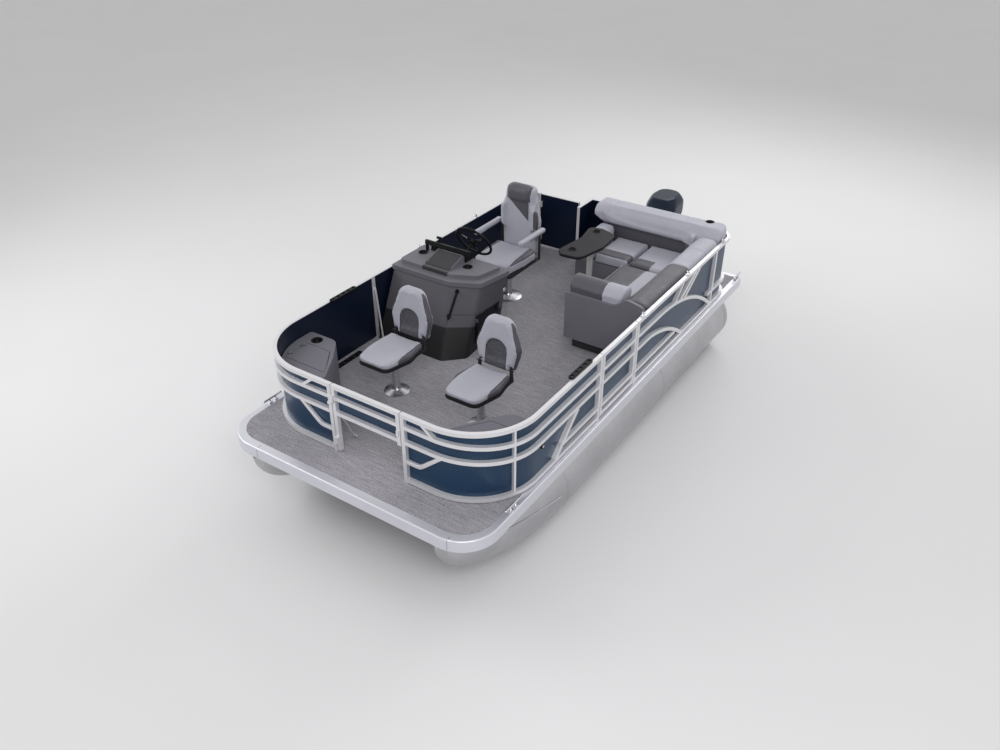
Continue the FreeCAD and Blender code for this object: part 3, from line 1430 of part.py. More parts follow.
pillow = prism([(hx - pillow_half, back_y - 34, 24), (hx + pillow_half, back_y - 34, 24),
                (hx + pillow_half, back_y + 70), (hx - pillow_half, back_y + 70)], pillow_low, high - 14)
back = back.fuse(soften(pillow, 20, lambda b: b.ZMax - b.ZMin < 0.1 and b.YMin < back_y + 30))
feature("helm_back_cushion", back)
arm_half = size("helm_arm_radius")
arm_out = half + 8 + size("helm_arm_width")
for s, name in ((1, "helm_arm_port"), (-1, "helm_arm_starboard")):
    x0, x1 = sorted((hx + s * (half + 8), hx + s * arm_out))
    arm = along([(hy - size("helm_arm_front"), arm_z - arm_half, 14),
                 (arm_y + arm_half, arm_z - arm_half, arm_half - 1),
                 (arm_y + arm_half, arm_z + arm_half, arm_half - 1),
                 (hy - size("helm_arm_front"), arm_z + arm_half, 20)],
                x0, x1)
    arm = soften(arm, 10, lambda b: b.XMax - b.XMin < 0.1)
    x0, x1 = sorted((hx + s * half, hx + s * (half + 41)))
    feature(name, arm.cut(cylinder(pivot_r + CLEARANCE, V(x0, arm_y, arm_z), V(x1, arm_y, arm_z))))

# Lounge: an L-shaped base with a locker, seats, arms and backs.
L_FRONT = size("lounge_front")
L_SIDE = size("lounge_side")
L_END = size("lounge_end")
L_SI = size("lounge_stern_inner")
BEHIND = RAIL + SHEET + 2
FENCE_IN = FENCE_X - BEHIND
STERN_IN = STERN - BEHIND
BASE = DECK + size("lounge_base_top")
KICK = DECK + size("lounge_kick")
KICK_SET = size("lounge_kick_set")
L_WALL = size("lounge_wall")
L_ROUND = 60
stern_r = max(corner - BEHIND, 5)


def lounge_plan(d, front=0.0):
    inner_d = d + front
    return [(L_SIDE + inner_d, L_FRONT + inner_d), (FENCE_IN - d, L_FRONT + inner_d),
            (FENCE_IN - d, STERN_IN - d, stern_r - min(d, L_ROUND)), (L_END + inner_d, STERN_IN - d),
            (L_END + inner_d, L_SI + inner_d), (L_SIDE + inner_d, L_SI + inner_d, L_ROUND)]


BOLSTER = size("bolster_depth")
B_TOP = DECK + size("bolster_top")
S_TOP = DECK + size("stern_bolster_top")
S_DEPTH = size("stern_bolster_depth")
PANEL = size("front_panel")
arm_start = L_FRONT + PANEL + GAP
arm_end = arm_start + size("lounge_arm_depth")
SEAT_TOP = DECK + size("seat_top")
SEAT_GAP = size("seat_gap")
SEAT_REST = BASE + GAP
back_in = FENCE_IN - BOLSTER
stern_in = STERN_IN - S_DEPTH
# the port seat turns on a rod behind it, in eyes that stand on the base
seat_pin = size("seat_pin")
seat_eye = seat_pin + 3.5
seat_hinge_x = back_in - size("seat_hinge_set")
seat_hinge_z = SEAT_TOP - 2
seat_out = seat_hinge_x - seat_eye - 1.5
seat_y0, seat_y1 = arm_end + SEAT_GAP, L_SI - 24
rim_wide = size("locker_rim")
kick_ring = prism(lounge_plan(0, KICK_SET), DECK, KICK).cut(prism(lounge_plan(L_WALL, KICK_SET), DECK - 1,
                                                                  KICK + 1))
tray = prism(lounge_plan(0), KICK, BASE).cut(prism(lounge_plan(L_WALL), KICK + L_WALL, BASE - L_WALL))
locker = prism([(L_SIDE + 4 + rim_wide, seat_y0 + rim_wide, 20),
                (seat_out - rim_wide, seat_y0 + rim_wide, 20),
                (seat_out - rim_wide, seat_y1 - rim_wide, 20),
                (L_SIDE + 4 + rim_wide, seat_y1 - rim_wide, 20)],
               BASE - L_WALL - 1, BASE + 1)
bend, rise = size("front_panel_bend"), size("front_panel_rise")
panel_top, crest = DECK + size("front_panel_top"), DECK + size("front_panel_crest")
front_wall = across([(L_SIDE, BASE - 1), (L_SIDE, panel_top, 20), (bend, panel_top, 130), (rise, crest, 50),
                     (FENCE_IN - 45, crest - 30, 60), (FENCE_IN, crest - 75, 20), (FENCE_IN, BASE - 1)],
                    L_FRONT, L_FRONT + PANEL)
pieces = [kick_ring, tray.cut(locker), front_wall]
strap_y = [seat_y0 + 120, seat_y1 - 120]
EYE_LONG = 22
for y in strap_y:
    eye = cylinder(seat_eye, V(seat_hinge_x, y, seat_hinge_z), V(seat_hinge_x, y + EYE_LONG, seat_hinge_z))
    strap = box(seat_hinge_x - 5, seat_hinge_x + 5, y, y + EYE_LONG, BASE - 1, seat_hinge_z)
    bore = cylinder(seat_pin + CLEARANCE, V(seat_hinge_x, y - 1, seat_hinge_z),
                    V(seat_hinge_x, y + EYE_LONG + 1, seat_hinge_z))
    pieces.append(eye.fuse(strap).cut(bore))
feature("lounge_base", join(pieces))

# upright cushions: the arms, the port back and the stern roll that turns the corner
front_arm = along([(arm_start, SEAT_REST), (arm_start, DECK + size("lounge_arm_top"), 95),
                   (arm_end, DECK + size("lounge_arm_top"), 95), (arm_end, SEAT_REST)], L_SIDE + 3,
                   back_in - 1)
front_arm = soften(front_arm, 28,
                   lambda b: b.XMax - b.XMin < 0.1 and b.XMax < L_SIDE + 10 and b.ZMax > SEAT_REST + 1)
port_bolster = across([(back_in, SEAT_REST), (back_in, B_TOP, 90), (FENCE_IN - 1, B_TOP, 60),
                       (FENCE_IN - 1, SEAT_REST)],
                      L_FRONT + PANEL + 1, stern_in - 1)
feature("lounge_port_bolster", port_bolster)
roll_low = S_TOP - 190
stern_x0 = size("stern_bolster_end")
set_back = size("stern_back_set")
roll = along([(stern_in, roll_low, 50), (stern_in, S_TOP, 100), (STERN_IN - 1, S_TOP, 30),
              (STERN_IN - 1, SEAT_REST),
              (stern_in + set_back, SEAT_REST), (stern_in + set_back, roll_low)], stern_x0, FENCE_IN - 1)
roll = roll.cut(across([(stern_x0 - 5, SEAT_REST - 5), (L_END + 2, SEAT_REST - 5), (L_END + 2, DECK + 535),
                        (stern_x0 - 5, DECK + 598)], stern_in - 5, STERN_IN + 5))
reach = 400
trim_corner = prism([(FENCE_IN - reach, STERN_IN - reach), (FENCE_IN - 1, STERN_IN - reach),
                     (FENCE_IN - 1, STERN_IN - 1, stern_r), (FENCE_IN - reach, STERN_IN - 1)], BASE - 10,
                     S_TOP + 10)
corner_block = box(FENCE_IN - reach, FENCE_IN + 10, STERN_IN - reach, STERN_IN + 10, BASE - 10, S_TOP + 10)
turn_r = size("inner_turn")
fill = box(back_in - 1 - turn_r, back_in - 1, stern_in - turn_r, stern_in + 2, SEAT_TOP + GAP, B_TOP)
fill = fill.cut(cylinder(turn_r, V(back_in - 1 - turn_r, stern_in - turn_r, SEAT_TOP - 1),
                         V(back_in - 1 - turn_r, stern_in - turn_r, B_TOP + 1)))
roll = roll.cut(corner_block).fuse([roll.common(trim_corner), fill])
cup_spot = V(size("corner_cup_x"), size("corner_cup_y"), S_TOP - size("corner_cup_depth"))
roll = roll.cut(cylinder(size("corner_cup_radius"), cup_spot, cup_spot + V(0, 0, 200))).removeSplitter()
feature("lounge_stern_bolster", roll)
end_out = L_END + size("end_arm_width")
end_top = DECK + size("end_arm_top")
end_arm = across([(L_END + 2, SEAT_REST), (L_END + 2, end_top, 60), (end_out, end_top, 60),
                  (end_out, SEAT_REST)],
                 size("end_arm_front"), stern_in - 1)
end_arm = soften(end_arm, 28, lambda b: b.YMax < size("end_arm_front") + 0.1 and b.ZMax > SEAT_REST + 1)
feature("lounge_arms", Part.makeCompound([front_arm, end_arm]))


# seats: a port lid over the locker, the fixed corner and the stern seat
def seat_block(x0, x1, y0, y1):
    block = prism([(x0, y0, 20), (x1, y0, 20), (x1, y1, 20), (x0, y1, 20)], SEAT_REST, SEAT_TOP)
    return soften(block, size("seat_round"), lambda b: b.ZMin > SEAT_TOP - 0.1)


pieces = [seat_block(L_SIDE + 4, seat_out, seat_y0, seat_y1)]
rod_y0, rod_y1 = strap_y[0] - 40, strap_y[1] + EYE_LONG + 40
pieces.append(cylinder(seat_pin, V(seat_hinge_x, rod_y0, seat_hinge_z),
                       V(seat_hinge_x, rod_y1, seat_hinge_z)))
for y in (rod_y0, rod_y1 - 30):
    pieces.append(along([(y, seat_hinge_z - seat_pin), (y, seat_hinge_z + 1), (y + 30, seat_hinge_z + 1),
                         (y + 30, seat_hinge_z - seat_pin)], seat_out - 50, seat_hinge_x))
feature("lounge_port_seat", join(pieces))
split = size("lounge_split")
feature("lounge_corner_seat", seat_block(split, back_in - 1, L_SI - 12, stern_in + set_back - 1))
feature("lounge_stern_seat", seat_block(end_out + SEAT_GAP, split - SEAT_GAP, L_SI + 4,
                                        stern_in + set_back - 1))

# Table: a pear-shaped leaf with two cup wells, on a turned post.
T_LOW = DECK + size("table_height") - size("table_thickness")
leaf_plan = outline([(-105, -412, 50), (95, -400, 90), (165, -60, 150), (140, 250, 100), (-40, 320, 70),
                     (-170, 290, 60), (-120, 20, 150), (-165, -330, 50)])
table = plate("table_top", [leaf_plan], "0 mm", "Sizes.table_thickness")
cups = [circle_wire(-55, -262, size("table_cup_radius")), circle_wire(-60, 225, size("table_cup_radius"))]
cup_sketch = sketch_on(table, "table_cups", cups, "XY_Plane", "Sizes.table_thickness")
pocket(table, "table_cup_wells", cup_sketch, "Sizes.table_cup_depth")
thickness = size("table_thickness")
round_edges(table, "table_edge", "Sizes.table_round", lambda b: b.ZMin > thickness - 0.1)
finish(table, "table_top", "Sizes.table_x * 1 mm", "Sizes.table_y * 1 mm",
       "(Sizes.deck_top + Sizes.table_height - Sizes.table_thickness) * 1 mm")
post_body = new_body("table_post")
post_high = T_LOW - DECK
foot_r, stem_r = size("table_foot"), size("table_post")
turn(post_body, "table_post_turning", [(0, 0), (foot_r, 0), (foot_r, 6), (foot_r - 65, 30), (stem_r, 60),
                                       (stem_r, post_high - 30), (stem_r * 2, post_high - 6),
                                       (stem_r * 2, post_high),
                                       (0, post_high)])
finish(post_body, "table_post", "Sizes.table_x * 1 mm", "Sizes.table_y * 1 mm", "Sizes.deck_top")

# Boxes in the bow corners, each with a lid in a rebate that hinges along the fence side.
LID = size("lid_thickness")
LID_GAP = size("lid_gap")
LID_X = size("lid_hinge")
LID_PIN = size("lid_pin")
LID_EYE = LID_PIN + 3
BOX_REAR = size("box_rear")
BOX_INNER = size("box_inner")


def box_plan(s, d):
    r = CORNER - BEHIND
    x = FENCE_X - BEHIND - d
    front = FRONT + BEHIND + d
    return [(s * (BOX_INNER - d * 0.2), front), (s * x, front, r - d), (s * x, BOX_REAR - d, 30),
            (s * (BOX_INNER + 300), BOX_REAR - d, 110), (s * (BOX_INNER + 140 + d),
                                                         BOX_REAR - 210 - d * 0.4, 200),
            (s * (BOX_INNER + d), BOX_REAR - 450)]


def lid_plan(s, d):
    y0, y1 = size("lid_front"), size("lid_rear")
    return [(s * (LID_X + d), y0 - d, 8), (s * (LID_X - 423 - d), y0 - d, 8),
            (s * (LID_X - 325 - d), y0 + 140 + d * 0.5, 60),
            (s * (LID_X - 245 - d * 0.5), y1 + d, 20), (s * (LID_X + d), y1 + d, 8)]


def lid_rod(s, radius, y, long, z):
    x = s * (LID_X + LID_GAP / 2)
    return cylinder(radius, V(x, y, z), V(x, y + long, z))


def bow_box(s, height, name):
    wall = size("box_wall")
    top = DECK + height
    rim = LID + size("box_ledge")
    z = top + LID_EYE
    solid = prism(box_plan(s, 4), DECK, top).cut(prism(box_plan(s, 4 + wall), DECK + wall, top - rim))
    solid = solid.cut(prism(lid_plan(s, LID_GAP), top - LID - GAP, top + 1))
    solid = solid.cut(prism(lid_plan(s, -10), top - rim - 1, top))
    lid = [prism(lid_plan(s, 0), top - LID, top)]
    middle_x = LID_X + LID_GAP / 2
    for y in (size("lid_front") + 40, size("lid_rear") - 40 - EYE_LONG):
        x0, x1 = sorted((s * (LID_X + LID_GAP), s * (LID_X + LID_GAP + 16)))
        eye = lid_rod(s, LID_EYE, y, EYE_LONG, z).fuse(box(x0, x1, y, y + EYE_LONG, top - 2, z))
        solid = solid.fuse(eye).cut(lid_rod(s, LID_PIN + CLEARANCE, y - 1, EYE_LONG + 2, z))
        barrel_y = y + EYE_LONG + GAP
        x0, x1 = sorted((s * (middle_x - 28), s * middle_x))
        lid += [lid_rod(s, LID_PIN, y, EYE_LONG + 20, z), lid_rod(s, LID_EYE - 0.5, barrel_y, 18, z),
                box(x0, x1, barrel_y, barrel_y + 18, top - 2, z)]
    feature(name + "_lid", join(lid))
    return solid


solid = bow_box(-1, size("livewell_height"), "livewell")
top = DECK + size("livewell_height")
cup_r = size("cup_radius")
cup_low = V(size("cup_x"), size("cup_y"), top - size("cup_depth"))
solid = solid.fuse(cylinder(cup_r + CUP_WALL, cup_low - V(0, 0, CUP_WALL),
                            V(cup_low.x, cup_low.y, top - 10)))
solid = solid.cut(cylinder(cup_r, cup_low, V(cup_low.x, cup_low.y, top + 1)))
feature("livewell_box", solid)
feature("storage_box", bow_box(1, size("storage_height"), "storage"))


# Rod racks: bars with a row of bores, on the side rails and on the deck.
def rack(x, y, z):
    long, half = size("rack_length"), size("rack_width") / 2
    thick, bore_r = size("rack_thickness"), size("rack_hole")
    bar = prism([(x - half, y, 20), (x + half, y, 20), (x + half, y + long, 20),
                 (x - half, y + long, 20)], z, z + thick)
    holes = 5
    for i in range(holes):
        middle = y + long * (i + 0.5) / holes
        bar = bar.cut(cylinder(bore_r, V(x, middle, z - 1), V(x, middle, z + thick + 1)))
    return bar


rack_x = FENCE_X - RAIL / 2 - 26
racks = [rack(rack_x, size("rack_port_y"), DECK + TOP), rack(-rack_x, size("rack_starboard_y"), DECK + TOP),
         rack(size("rack_floor_x"), size("rack_floor_y"), DECK)]
feature("rod_racks", Part.makeCompound(racks))


# Canopy brackets on the top rail: a foot, two ears and the pin between them.
def bracket(x, y):
    z = DECK + TOP
    foot = box(x - 16, x + 16, y - 22, y + 22, z, z + 6)
    ears = [along([(y - 14, z + 4), (y - 12, z + 34, 11), (y + 12, z + 34, 11), (y + 14, z + 4)],
                  x + d - 3, x + d + 3)
            for d in (-9, 9)]
    return join([foot, cylinder(4, V(x - 15, y, z + 22), V(x + 15, y, z + 22))] + ears)


rail_mid = FENCE_X - RAIL / 2
bracket_spots = [(side * rail_mid, size(name)) for side in (1, -1) for name in ("bracket_front",
                                                                                "bracket_rear")]
bracket_spots += [(-rail_mid, gate_face - 51), (rail_mid, divider + 180)]
feature("canopy_brackets", Part.makeCompound([bracket(x, y) for x, y in bracket_spots]))

# Outboard motor: clamp bracket, swivel on the tilt tube, and the leg that steers in the swivel.
TY, TZ, SY = size("tilt_y"), size("tilt_z"), size("steer_y")
hook = size("transom_top") + 2
clamp_front = face - size("transom_wall")
tube_r = size("tilt_tube")
pin_r = size("steer_pin")
swivel_low = size("swivel_low")
cowl_low = size("cowl_bottom")
swivel_high = cowl_low - 20
cheeks = []
for s in (1, -1):
    x0, x1 = sorted((s * 62, s * 78))
    cheeks.append(along([(face + 0.5, 560, 10), (face + 30, 560, 20), (TY + 26, TZ - 40, 20),
                         (TY + 26, TZ + 26, 20),
                         (TY - 20, TZ + 26, 20), (clamp_front + 20, hook + 16, 10),
                         (clamp_front - 20, hook + 16, 10),
                         (clamp_front - 20, hook - 110, 6), (clamp_front - 4, hook - 110, 6),
                         (clamp_front - 4, hook),
                         (face + 0.5, hook)], x0, x1))
bridge = box(-70, 70, clamp_front - 20, face + 4, hook, hook + 16)
plate_back = box(-70, 70, face + 0.5, face + 9, 570, TZ - 50)
screws = [cylinder(10, V(s * 70, clamp_front - 56, hook - 90),
                   V(s * 70, clamp_front - 10, hook - 90)) for s in (1, -1)]
tilt_axle = cylinder(tube_r, V(-92, TY, TZ), V(92, TY, TZ))
feature("motor_bracket", join(cheeks + [bridge, plate_back, tilt_axle] + screws))

swivel = join([cylinder(25, V(-56, TY, TZ), V(56, TY, TZ)), cylinder(32, V(0, SY, swivel_low),
                                                                     V(0, SY, swivel_high)),
               box(-30, 30, TY, SY, TZ - 24, TZ + 24), box(-24, 24, TY + 20, SY, swivel_low + 20, TZ)])
swivel = swivel.cut(cylinder(tube_r + CLEARANCE, V(-60, TY, TZ), V(60, TY, TZ)))
swivel = swivel.cut(cylinder(pin_r + CLEARANCE, V(0, SY, swivel_low - 30), V(0, SY, swivel_high + 30)))
feature("motor_swivel", swivel)


# A streamlined section of the leg: round in front, widest at a third and narrow behind.
def foil(z, front, chord, half_width):
    rear = front + chord
    return outline([(0, front, 8), (half_width, front + chord * 0.35, 60), (half_width * 0.55, rear, 14),
                    (-half_width * 0.55, rear, 14), (-half_width, front + chord * 0.35, 60)], z)


leg_front = SY + size("leg_set_back")
plate_z = size("plate_z")
yoke_top = prism([(-40, SY - 34, 30), (40, SY - 34, 30), (52, SY + 150, 20), (-52, SY + 150, 20)],
                 swivel_high + 2, cowl_low)
yoke_low = prism([(-34, SY - 30, 28), (34, SY - 30, 28), (40, SY + 110, 10), (-40, SY + 110, 10)],
                 swivel_low - 24,
                 swivel_low - 4)
leg_chord = size("leg_chord")
leg = Part.makeLoft([foil(plate_z, leg_front, leg_chord, 34),
                     foil(size("leg_middle"), leg_front, leg_chord, 44),
                     foil(size("leg_shoulder"), leg_front + 4, leg_chord + 21, 60),
                     foil(cowl_low, leg_front + 4, leg_chord + 81, 118)], True, False)
fin_front = SY - size("fin_reach")
fin_rear = fin_front + size("fin_length")
fin = prism([(0, fin_front, 30), (80, fin_front + 68, 40), (92, fin_rear, 50), (-92, fin_rear, 50),
             (-80, fin_front + 68, 40)],
            plate_z - size("plate_thickness"), plate_z)
pz, gear_r = size("prop_z"), size("gearcase_radius")
prop_y = size("prop_y")
strut = Part.makeLoft([foil(pz, SY + 15, leg_chord, 30), foil(plate_z - 3, SY + 20, leg_chord + 10, 32)],
                      True, True)
hub_front = prop_y - 32
hub_rear = prop_y + 34
case_long = size("gearcase_length")
case_front = hub_front - 3 - case_long
bullet_wire = outline([(0, 0), (14, 8), (30, 36), (gear_r, 90), (gear_r, case_long - 32),
                       (gear_r - 8, case_long),
                       (0, case_long)])
bullet = Part.Face(bullet_wire).revolve(V(0, 0, 0), V(0, 1, 0), 360)
bullet.translate(V(0, case_front, pz))
skeg_low = size("skeg_bottom")
skeg = along([(case_front + 48, pz - 20), (case_front + 93, skeg_low, 14), (case_front + 198, skeg_low, 20),
              (case_front + 223, pz - 20)], -5, 5)
shaft_r = size("prop_shaft")
shaft_end = prop_y + 44
prop_rod = cylinder(shaft_r, V(0, hub_front - 40, pz), V(0, shaft_end, pz))
steer_pin = cylinder(pin_r, V(0, SY, swivel_low - 24), V(0, SY, cowl_low - 2))
feature("motor_leg", join([leg, steer_pin, yoke_top, yoke_low, fin, strut, bullet, skeg, prop_rod]))


def cowl_outline(z, inset, front, rear, half_width):
    return outline([(-half_width * 0.6 + inset * 0.5, front + inset, 60),
                    (half_width * 0.6 - inset * 0.5, front + inset, 60),
                    (half_width - inset, front + 150, 90), (half_width * 0.86 - inset, rear - inset, 110),
                    (-half_width * 0.86 + inset, rear - inset, 110),
                    (-half_width + inset, front + 150, 90)], z)


def cowl_solid(inset):
    high = size("cowl_top")
    f, r, half_width = size("cowl_front"), size("cowl_rear"), size("cowl_width") / 2
    height = high - cowl_low
    return Part.makeLoft([cowl_outline(cowl_low + inset, inset, f + 30, r - 60, half_width * 0.86),
                          cowl_outline(cowl_low + height * 0.3, inset, f, r - 10, half_width),
                          cowl_outline(cowl_low + height * 0.7, inset, f + 18, r, half_width * 0.97),
                          cowl_outline(high - inset, inset, f + 90, r - 80, half_width * 0.76)], True, True)


feature("motor_cowl", cowl_solid(0).cut(cowl_solid(size("cowl_wall"))))
engine = doc.addObject("Part::Box", "motor_powerhead")
engine.setExpression("Length", "Sizes.engine_width")
engine.setExpression("Width", "Sizes.engine_length")
engine.setExpression("Height", "Sizes.engine_height")
finish(engine, "motor_powerhead", "-Sizes.engine_width * 1 mm / 2", "(Sizes.cowl_front + 90) * 1 mm",
       "(Sizes.cowl_bottom + Sizes.cowl_wall) * 1 mm")


# Propeller: three lofted blades whose twist follows the pitch, on a hub with a nose nut.
def blade_ring(share):
    radius = 20 + (size("prop_radius") - 20) * share
    angle = math.atan(size("prop_pitch") / (2 * math.pi * radius))
    chord = size("blade_chord") * math.sin(math.pi * (0.22 + 0.68 * share))
    thick = 7 - 4.5 * share
    points = []
    corners = 10
    for i in range(corners):
        turn_share = 2 * math.pi * i / corners
        u = chord / 2 * math.cos(turn_share)
        v = thick / 2 * math.sin(turn_share)
        points.append(V(u * math.cos(angle) - v * math.sin(angle),
                        u * math.sin(angle) + v * math.cos(angle), radius))
    return ring(points)


blade = Part.makeLoft([blade_ring(share) for share in (0, 0.3, 0.6, 0.85, 1)], True, False)
blade = blade.common(cylinder(size("prop_radius"), V(0, -80, 0), V(0, 80, 0)))
blades = []
for i in range(3):
    turned = blade.rotated(V(0, 0, 0), V(0, 1, 0), 120 * i)
    turned.translate(V(0, prop_y, pz))
    blades.append(turned)
hub = cylinder(size("prop_hub"), V(0, hub_front, pz), V(0, hub_rear, pz))
nut = cylinder(size("prop_hub") * 0.55, V(0, hub_rear, pz), V(0, hub_rear + 16, pz))
bore = cylinder(shaft_r + CLEARANCE, V(0, hub_front - 30, pz), V(0, shaft_end + 0.5, pz))
feature("propeller", hub.fuse([nut] + blades).cut(bore))

doc.recompute()

# Every object and every shape is checked before a file is written.
for obj in doc.Objects:
    if "Invalid" in obj.State or "Error" in obj.State:
        raise RuntimeError("failed object: " + obj.Label)
bad = [obj.Label for obj in parts if obj.Shape.isNull() or not obj.Shape.isValid()]
if bad:
    raise RuntimeError("bad shapes: " + ", ".join(bad))

os.makedirs("parts", exist_ok=True)
for obj in parts:
    obj.Shape.exportStep(os.path.join("parts", obj.Label + ".step"))
    print(obj.Label, len(obj.Shape.Solids), round(obj.Shape.Volume / 1000, 1))
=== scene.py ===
import math

import bmesh
import bpy
import numpy as np
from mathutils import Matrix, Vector
from mathutils.bvhtree import BVHTree


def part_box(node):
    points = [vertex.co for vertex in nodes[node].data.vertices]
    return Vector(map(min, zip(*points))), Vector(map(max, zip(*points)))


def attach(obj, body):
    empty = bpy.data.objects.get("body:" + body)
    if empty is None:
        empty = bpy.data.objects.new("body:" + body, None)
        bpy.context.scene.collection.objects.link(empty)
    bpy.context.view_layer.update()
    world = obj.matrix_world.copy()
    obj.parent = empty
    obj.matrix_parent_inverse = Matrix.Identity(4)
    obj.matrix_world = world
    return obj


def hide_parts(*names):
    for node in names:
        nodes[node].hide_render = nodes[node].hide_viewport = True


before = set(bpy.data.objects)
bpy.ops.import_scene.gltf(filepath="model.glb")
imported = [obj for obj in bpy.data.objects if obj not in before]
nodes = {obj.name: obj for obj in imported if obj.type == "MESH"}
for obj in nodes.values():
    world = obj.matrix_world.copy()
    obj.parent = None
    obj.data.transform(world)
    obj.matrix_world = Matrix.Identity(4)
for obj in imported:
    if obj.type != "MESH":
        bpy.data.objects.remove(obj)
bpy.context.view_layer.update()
scene = bpy.context.scene

# Places are given as (x, station, height): millimetres to port, aft of the deck's front edge
# and above the deck. The frame turns them into metres.
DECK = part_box("deck_floor")[1].z
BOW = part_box("deck_trim")[0].y


def at(x, station, height):
    return Vector((x / 1000, BOW + station / 1000, DECK + height / 1000))


def to_mm(points):
    return (points - np.array((0.0, BOW, DECK))) * 1000


def from_mm(points):
    return points / 1000 + np.array((0.0, BOW, DECK))


# Shader nodes

# A socket takes another node's output, a color, or a plain value.
def put(mat, socket, value):
    if isinstance(value, bpy.types.NodeSocket):
        mat.node_tree.links.new(value, socket)
    elif socket.type == "RGBA":
        socket.default_value = (*value, 1)
    else:
        socket.default_value = value


# A node, with what its sockets take, by their names or numbers, and its own settings.
def add(mat, kind, sockets=None, **settings):
    node = mat.node_tree.nodes.new(kind)
    for key, value in settings.items():
        setattr(node, key, value)
    for key, value in (sockets or {}).items():
        put(mat, node.inputs[key], value)
    return node


def feed(mat, socket, value):
    put(mat, mat.node_tree.nodes["Principled BSDF"].inputs[socket], value)


def new_material(name, color, rough, metallic=0.0):
    mat = bpy.data.materials.new(name)
    mat.use_nodes = True
    mat.diffuse_color = (*color, 1)
    feed(mat, "Base Color", color)
    feed(mat, "Roughness", rough)
    feed(mat, "Metallic", metallic)
    return mat


def compute(mat, operation, *values):
    return add(mat, "ShaderNodeMath", dict(enumerate(values)), operation=operation).outputs[0]


def compute_vector(mat, operation, *values):
    outputs = add(mat, "ShaderNodeVectorMath", dict(enumerate(values)), operation=operation).outputs
    return outputs["Value" if operation == "DOT_PRODUCT" else "Vector"]


def object_places(mat):
    return add(mat, "ShaderNodeTexCoord").outputs["Object"]


# Object coordinates, stretched so that a pattern can run along one axis.
def coords(mat, scale=(1, 1, 1)):
    return add(mat, "ShaderNodeMapping", {"Vector": object_places(mat), "Scale": scale}).outputs["Vector"]


def noise(mat, vector, scale, detail, roughness):
    sockets = {"Vector": vector, "Scale": scale, "Detail": detail, "Roughness": roughness}
    return add(mat, "ShaderNodeTexNoise", sockets).outputs["Fac"]


def span(mat, fac, low, high, out_low=0.0, out_high=1.0):
    sockets = {"Value": fac, "From Min": low, "From Max": high, "To Min": out_low, "To Max": out_high}
    return add(mat, "ShaderNodeMapRange", sockets).outputs["Result"]


# Noise runs mostly from 0.3 to 0.7, which this spreads over a range.
def swing(mat, fac, low=0.0, high=1.0):
    return span(mat, fac, 0.3, 0.7, low, high)


def blend_colors(mat, fac, first, second):
    return add(mat, "ShaderNodeMix", {0: fac, 6: first, 7: second}, data_type="RGBA").outputs[2]


def shade(color, factor):
    return tuple(min(1.0, c * factor) for c in color)


# The color in clouds, from darker to lighter by two factors.
def clouded(mat, cloud, color, darker, lighter):
    return blend_colors(mat, swing(mat, cloud), shade(color, darker), shade(color, lighter))


# Fine relief, over edges that catch the light as if rounded by edge metres.
def bump(mat, height, strength, distance, edge=0.0):
    node = add(mat, "ShaderNodeBump", {"Height": height, "Strength": strength, "Distance": distance})
    if edge:
        rounded = add(mat, "ShaderNodeBevel", {"Radius": edge}, samples=4)
        put(mat, node.inputs["Normal"], rounded.outputs["Normal"])
    feed(mat, "Normal", node.outputs["Normal"])


# 1 inside the box between two places in (x, station, height), with sides soft over fade millimetres.
def inside(mat, low, high, fade):
    low, high = at(*low), at(*high)
    shift = compute_vector(mat, "SUBTRACT", object_places(mat), (low + high) / 2)
    over = compute_vector(mat, "SUBTRACT", compute_vector(mat, "ABSOLUTE", shift), (high - low) / 2)
    x, y, z = add(mat, "ShaderNodeSeparateXYZ", {0: over}).outputs
    worst = compute(mat, "MAXIMUM", compute(mat, "MAXIMUM", x, y), z)
    return span(mat, worst, -fade / 1000, fade / 1000, 1.0, 0.0)


# Another color inside a box.
def patch(mat, low, high, color, fade):
    before = mat.node_tree.nodes["Principled BSDF"].inputs["Base Color"].links[0].from_socket
    feed(mat, "Base Color", blend_colors(mat, inside(mat, low, high, fade), before, color))


# Materials

SATIN_RELIEF = 0.02
NEARLY_BLACK = 0.05


# Metal with a fine brushed grain along one axis and soft cloudy staining. Satin metal, with a
# relief no deeper than the above, has that grain in its gloss alone.
def metal(name, color, rough, grain=(400, 6, 400), stain=0.12, metallic=1.0, relief=0.12):
    mat = new_material(name, color, rough, metallic)
    grain_fac = noise(mat, coords(mat, grain), scale=1.0, detail=3, roughness=0.5)
    cloud = noise(mat, coords(mat), scale=2.3, detail=5, roughness=0.6)
    feed(mat, "Base Color", clouded(mat, cloud, color, 1 - stain, 1 + stain * 0.4))
    spread = min(0.07, relief)
    feed(mat, "Roughness", swing(mat, grain_fac, rough - spread, rough + spread))
    if relief > SATIN_RELIEF:
        bump(mat, grain_fac, strength=relief, distance=0.0006, edge=0.002)
    return mat


# Moulded plastic with a fine leathery grain. It shines less where it is nearly black.
def moulded(name, color, rough=0.55, grain=900, depth=0.25):
    mat = new_material(name, color, rough)
    sockets = {"Vector": coords(mat), "Scale": grain}
    leather = add(mat, "ShaderNodeTexVoronoi", sockets, feature="DISTANCE_TO_EDGE")
    cloud = noise(mat, coords(mat), scale=3.0, detail=4, roughness=0.55)
    feed(mat, "Base Color", clouded(mat, cloud, color, 0.93, 1.05))
    feed(mat, "Roughness", swing(mat, cloud, rough - 0.05, rough + 0.05))
    bump(mat, leather.outputs["Distance"], strength=depth, distance=0.0005, edge=0.004)
    feed(mat, "Specular IOR Level", 0.12 if max(color) < NEARLY_BLACK else 0.35)
    return mat


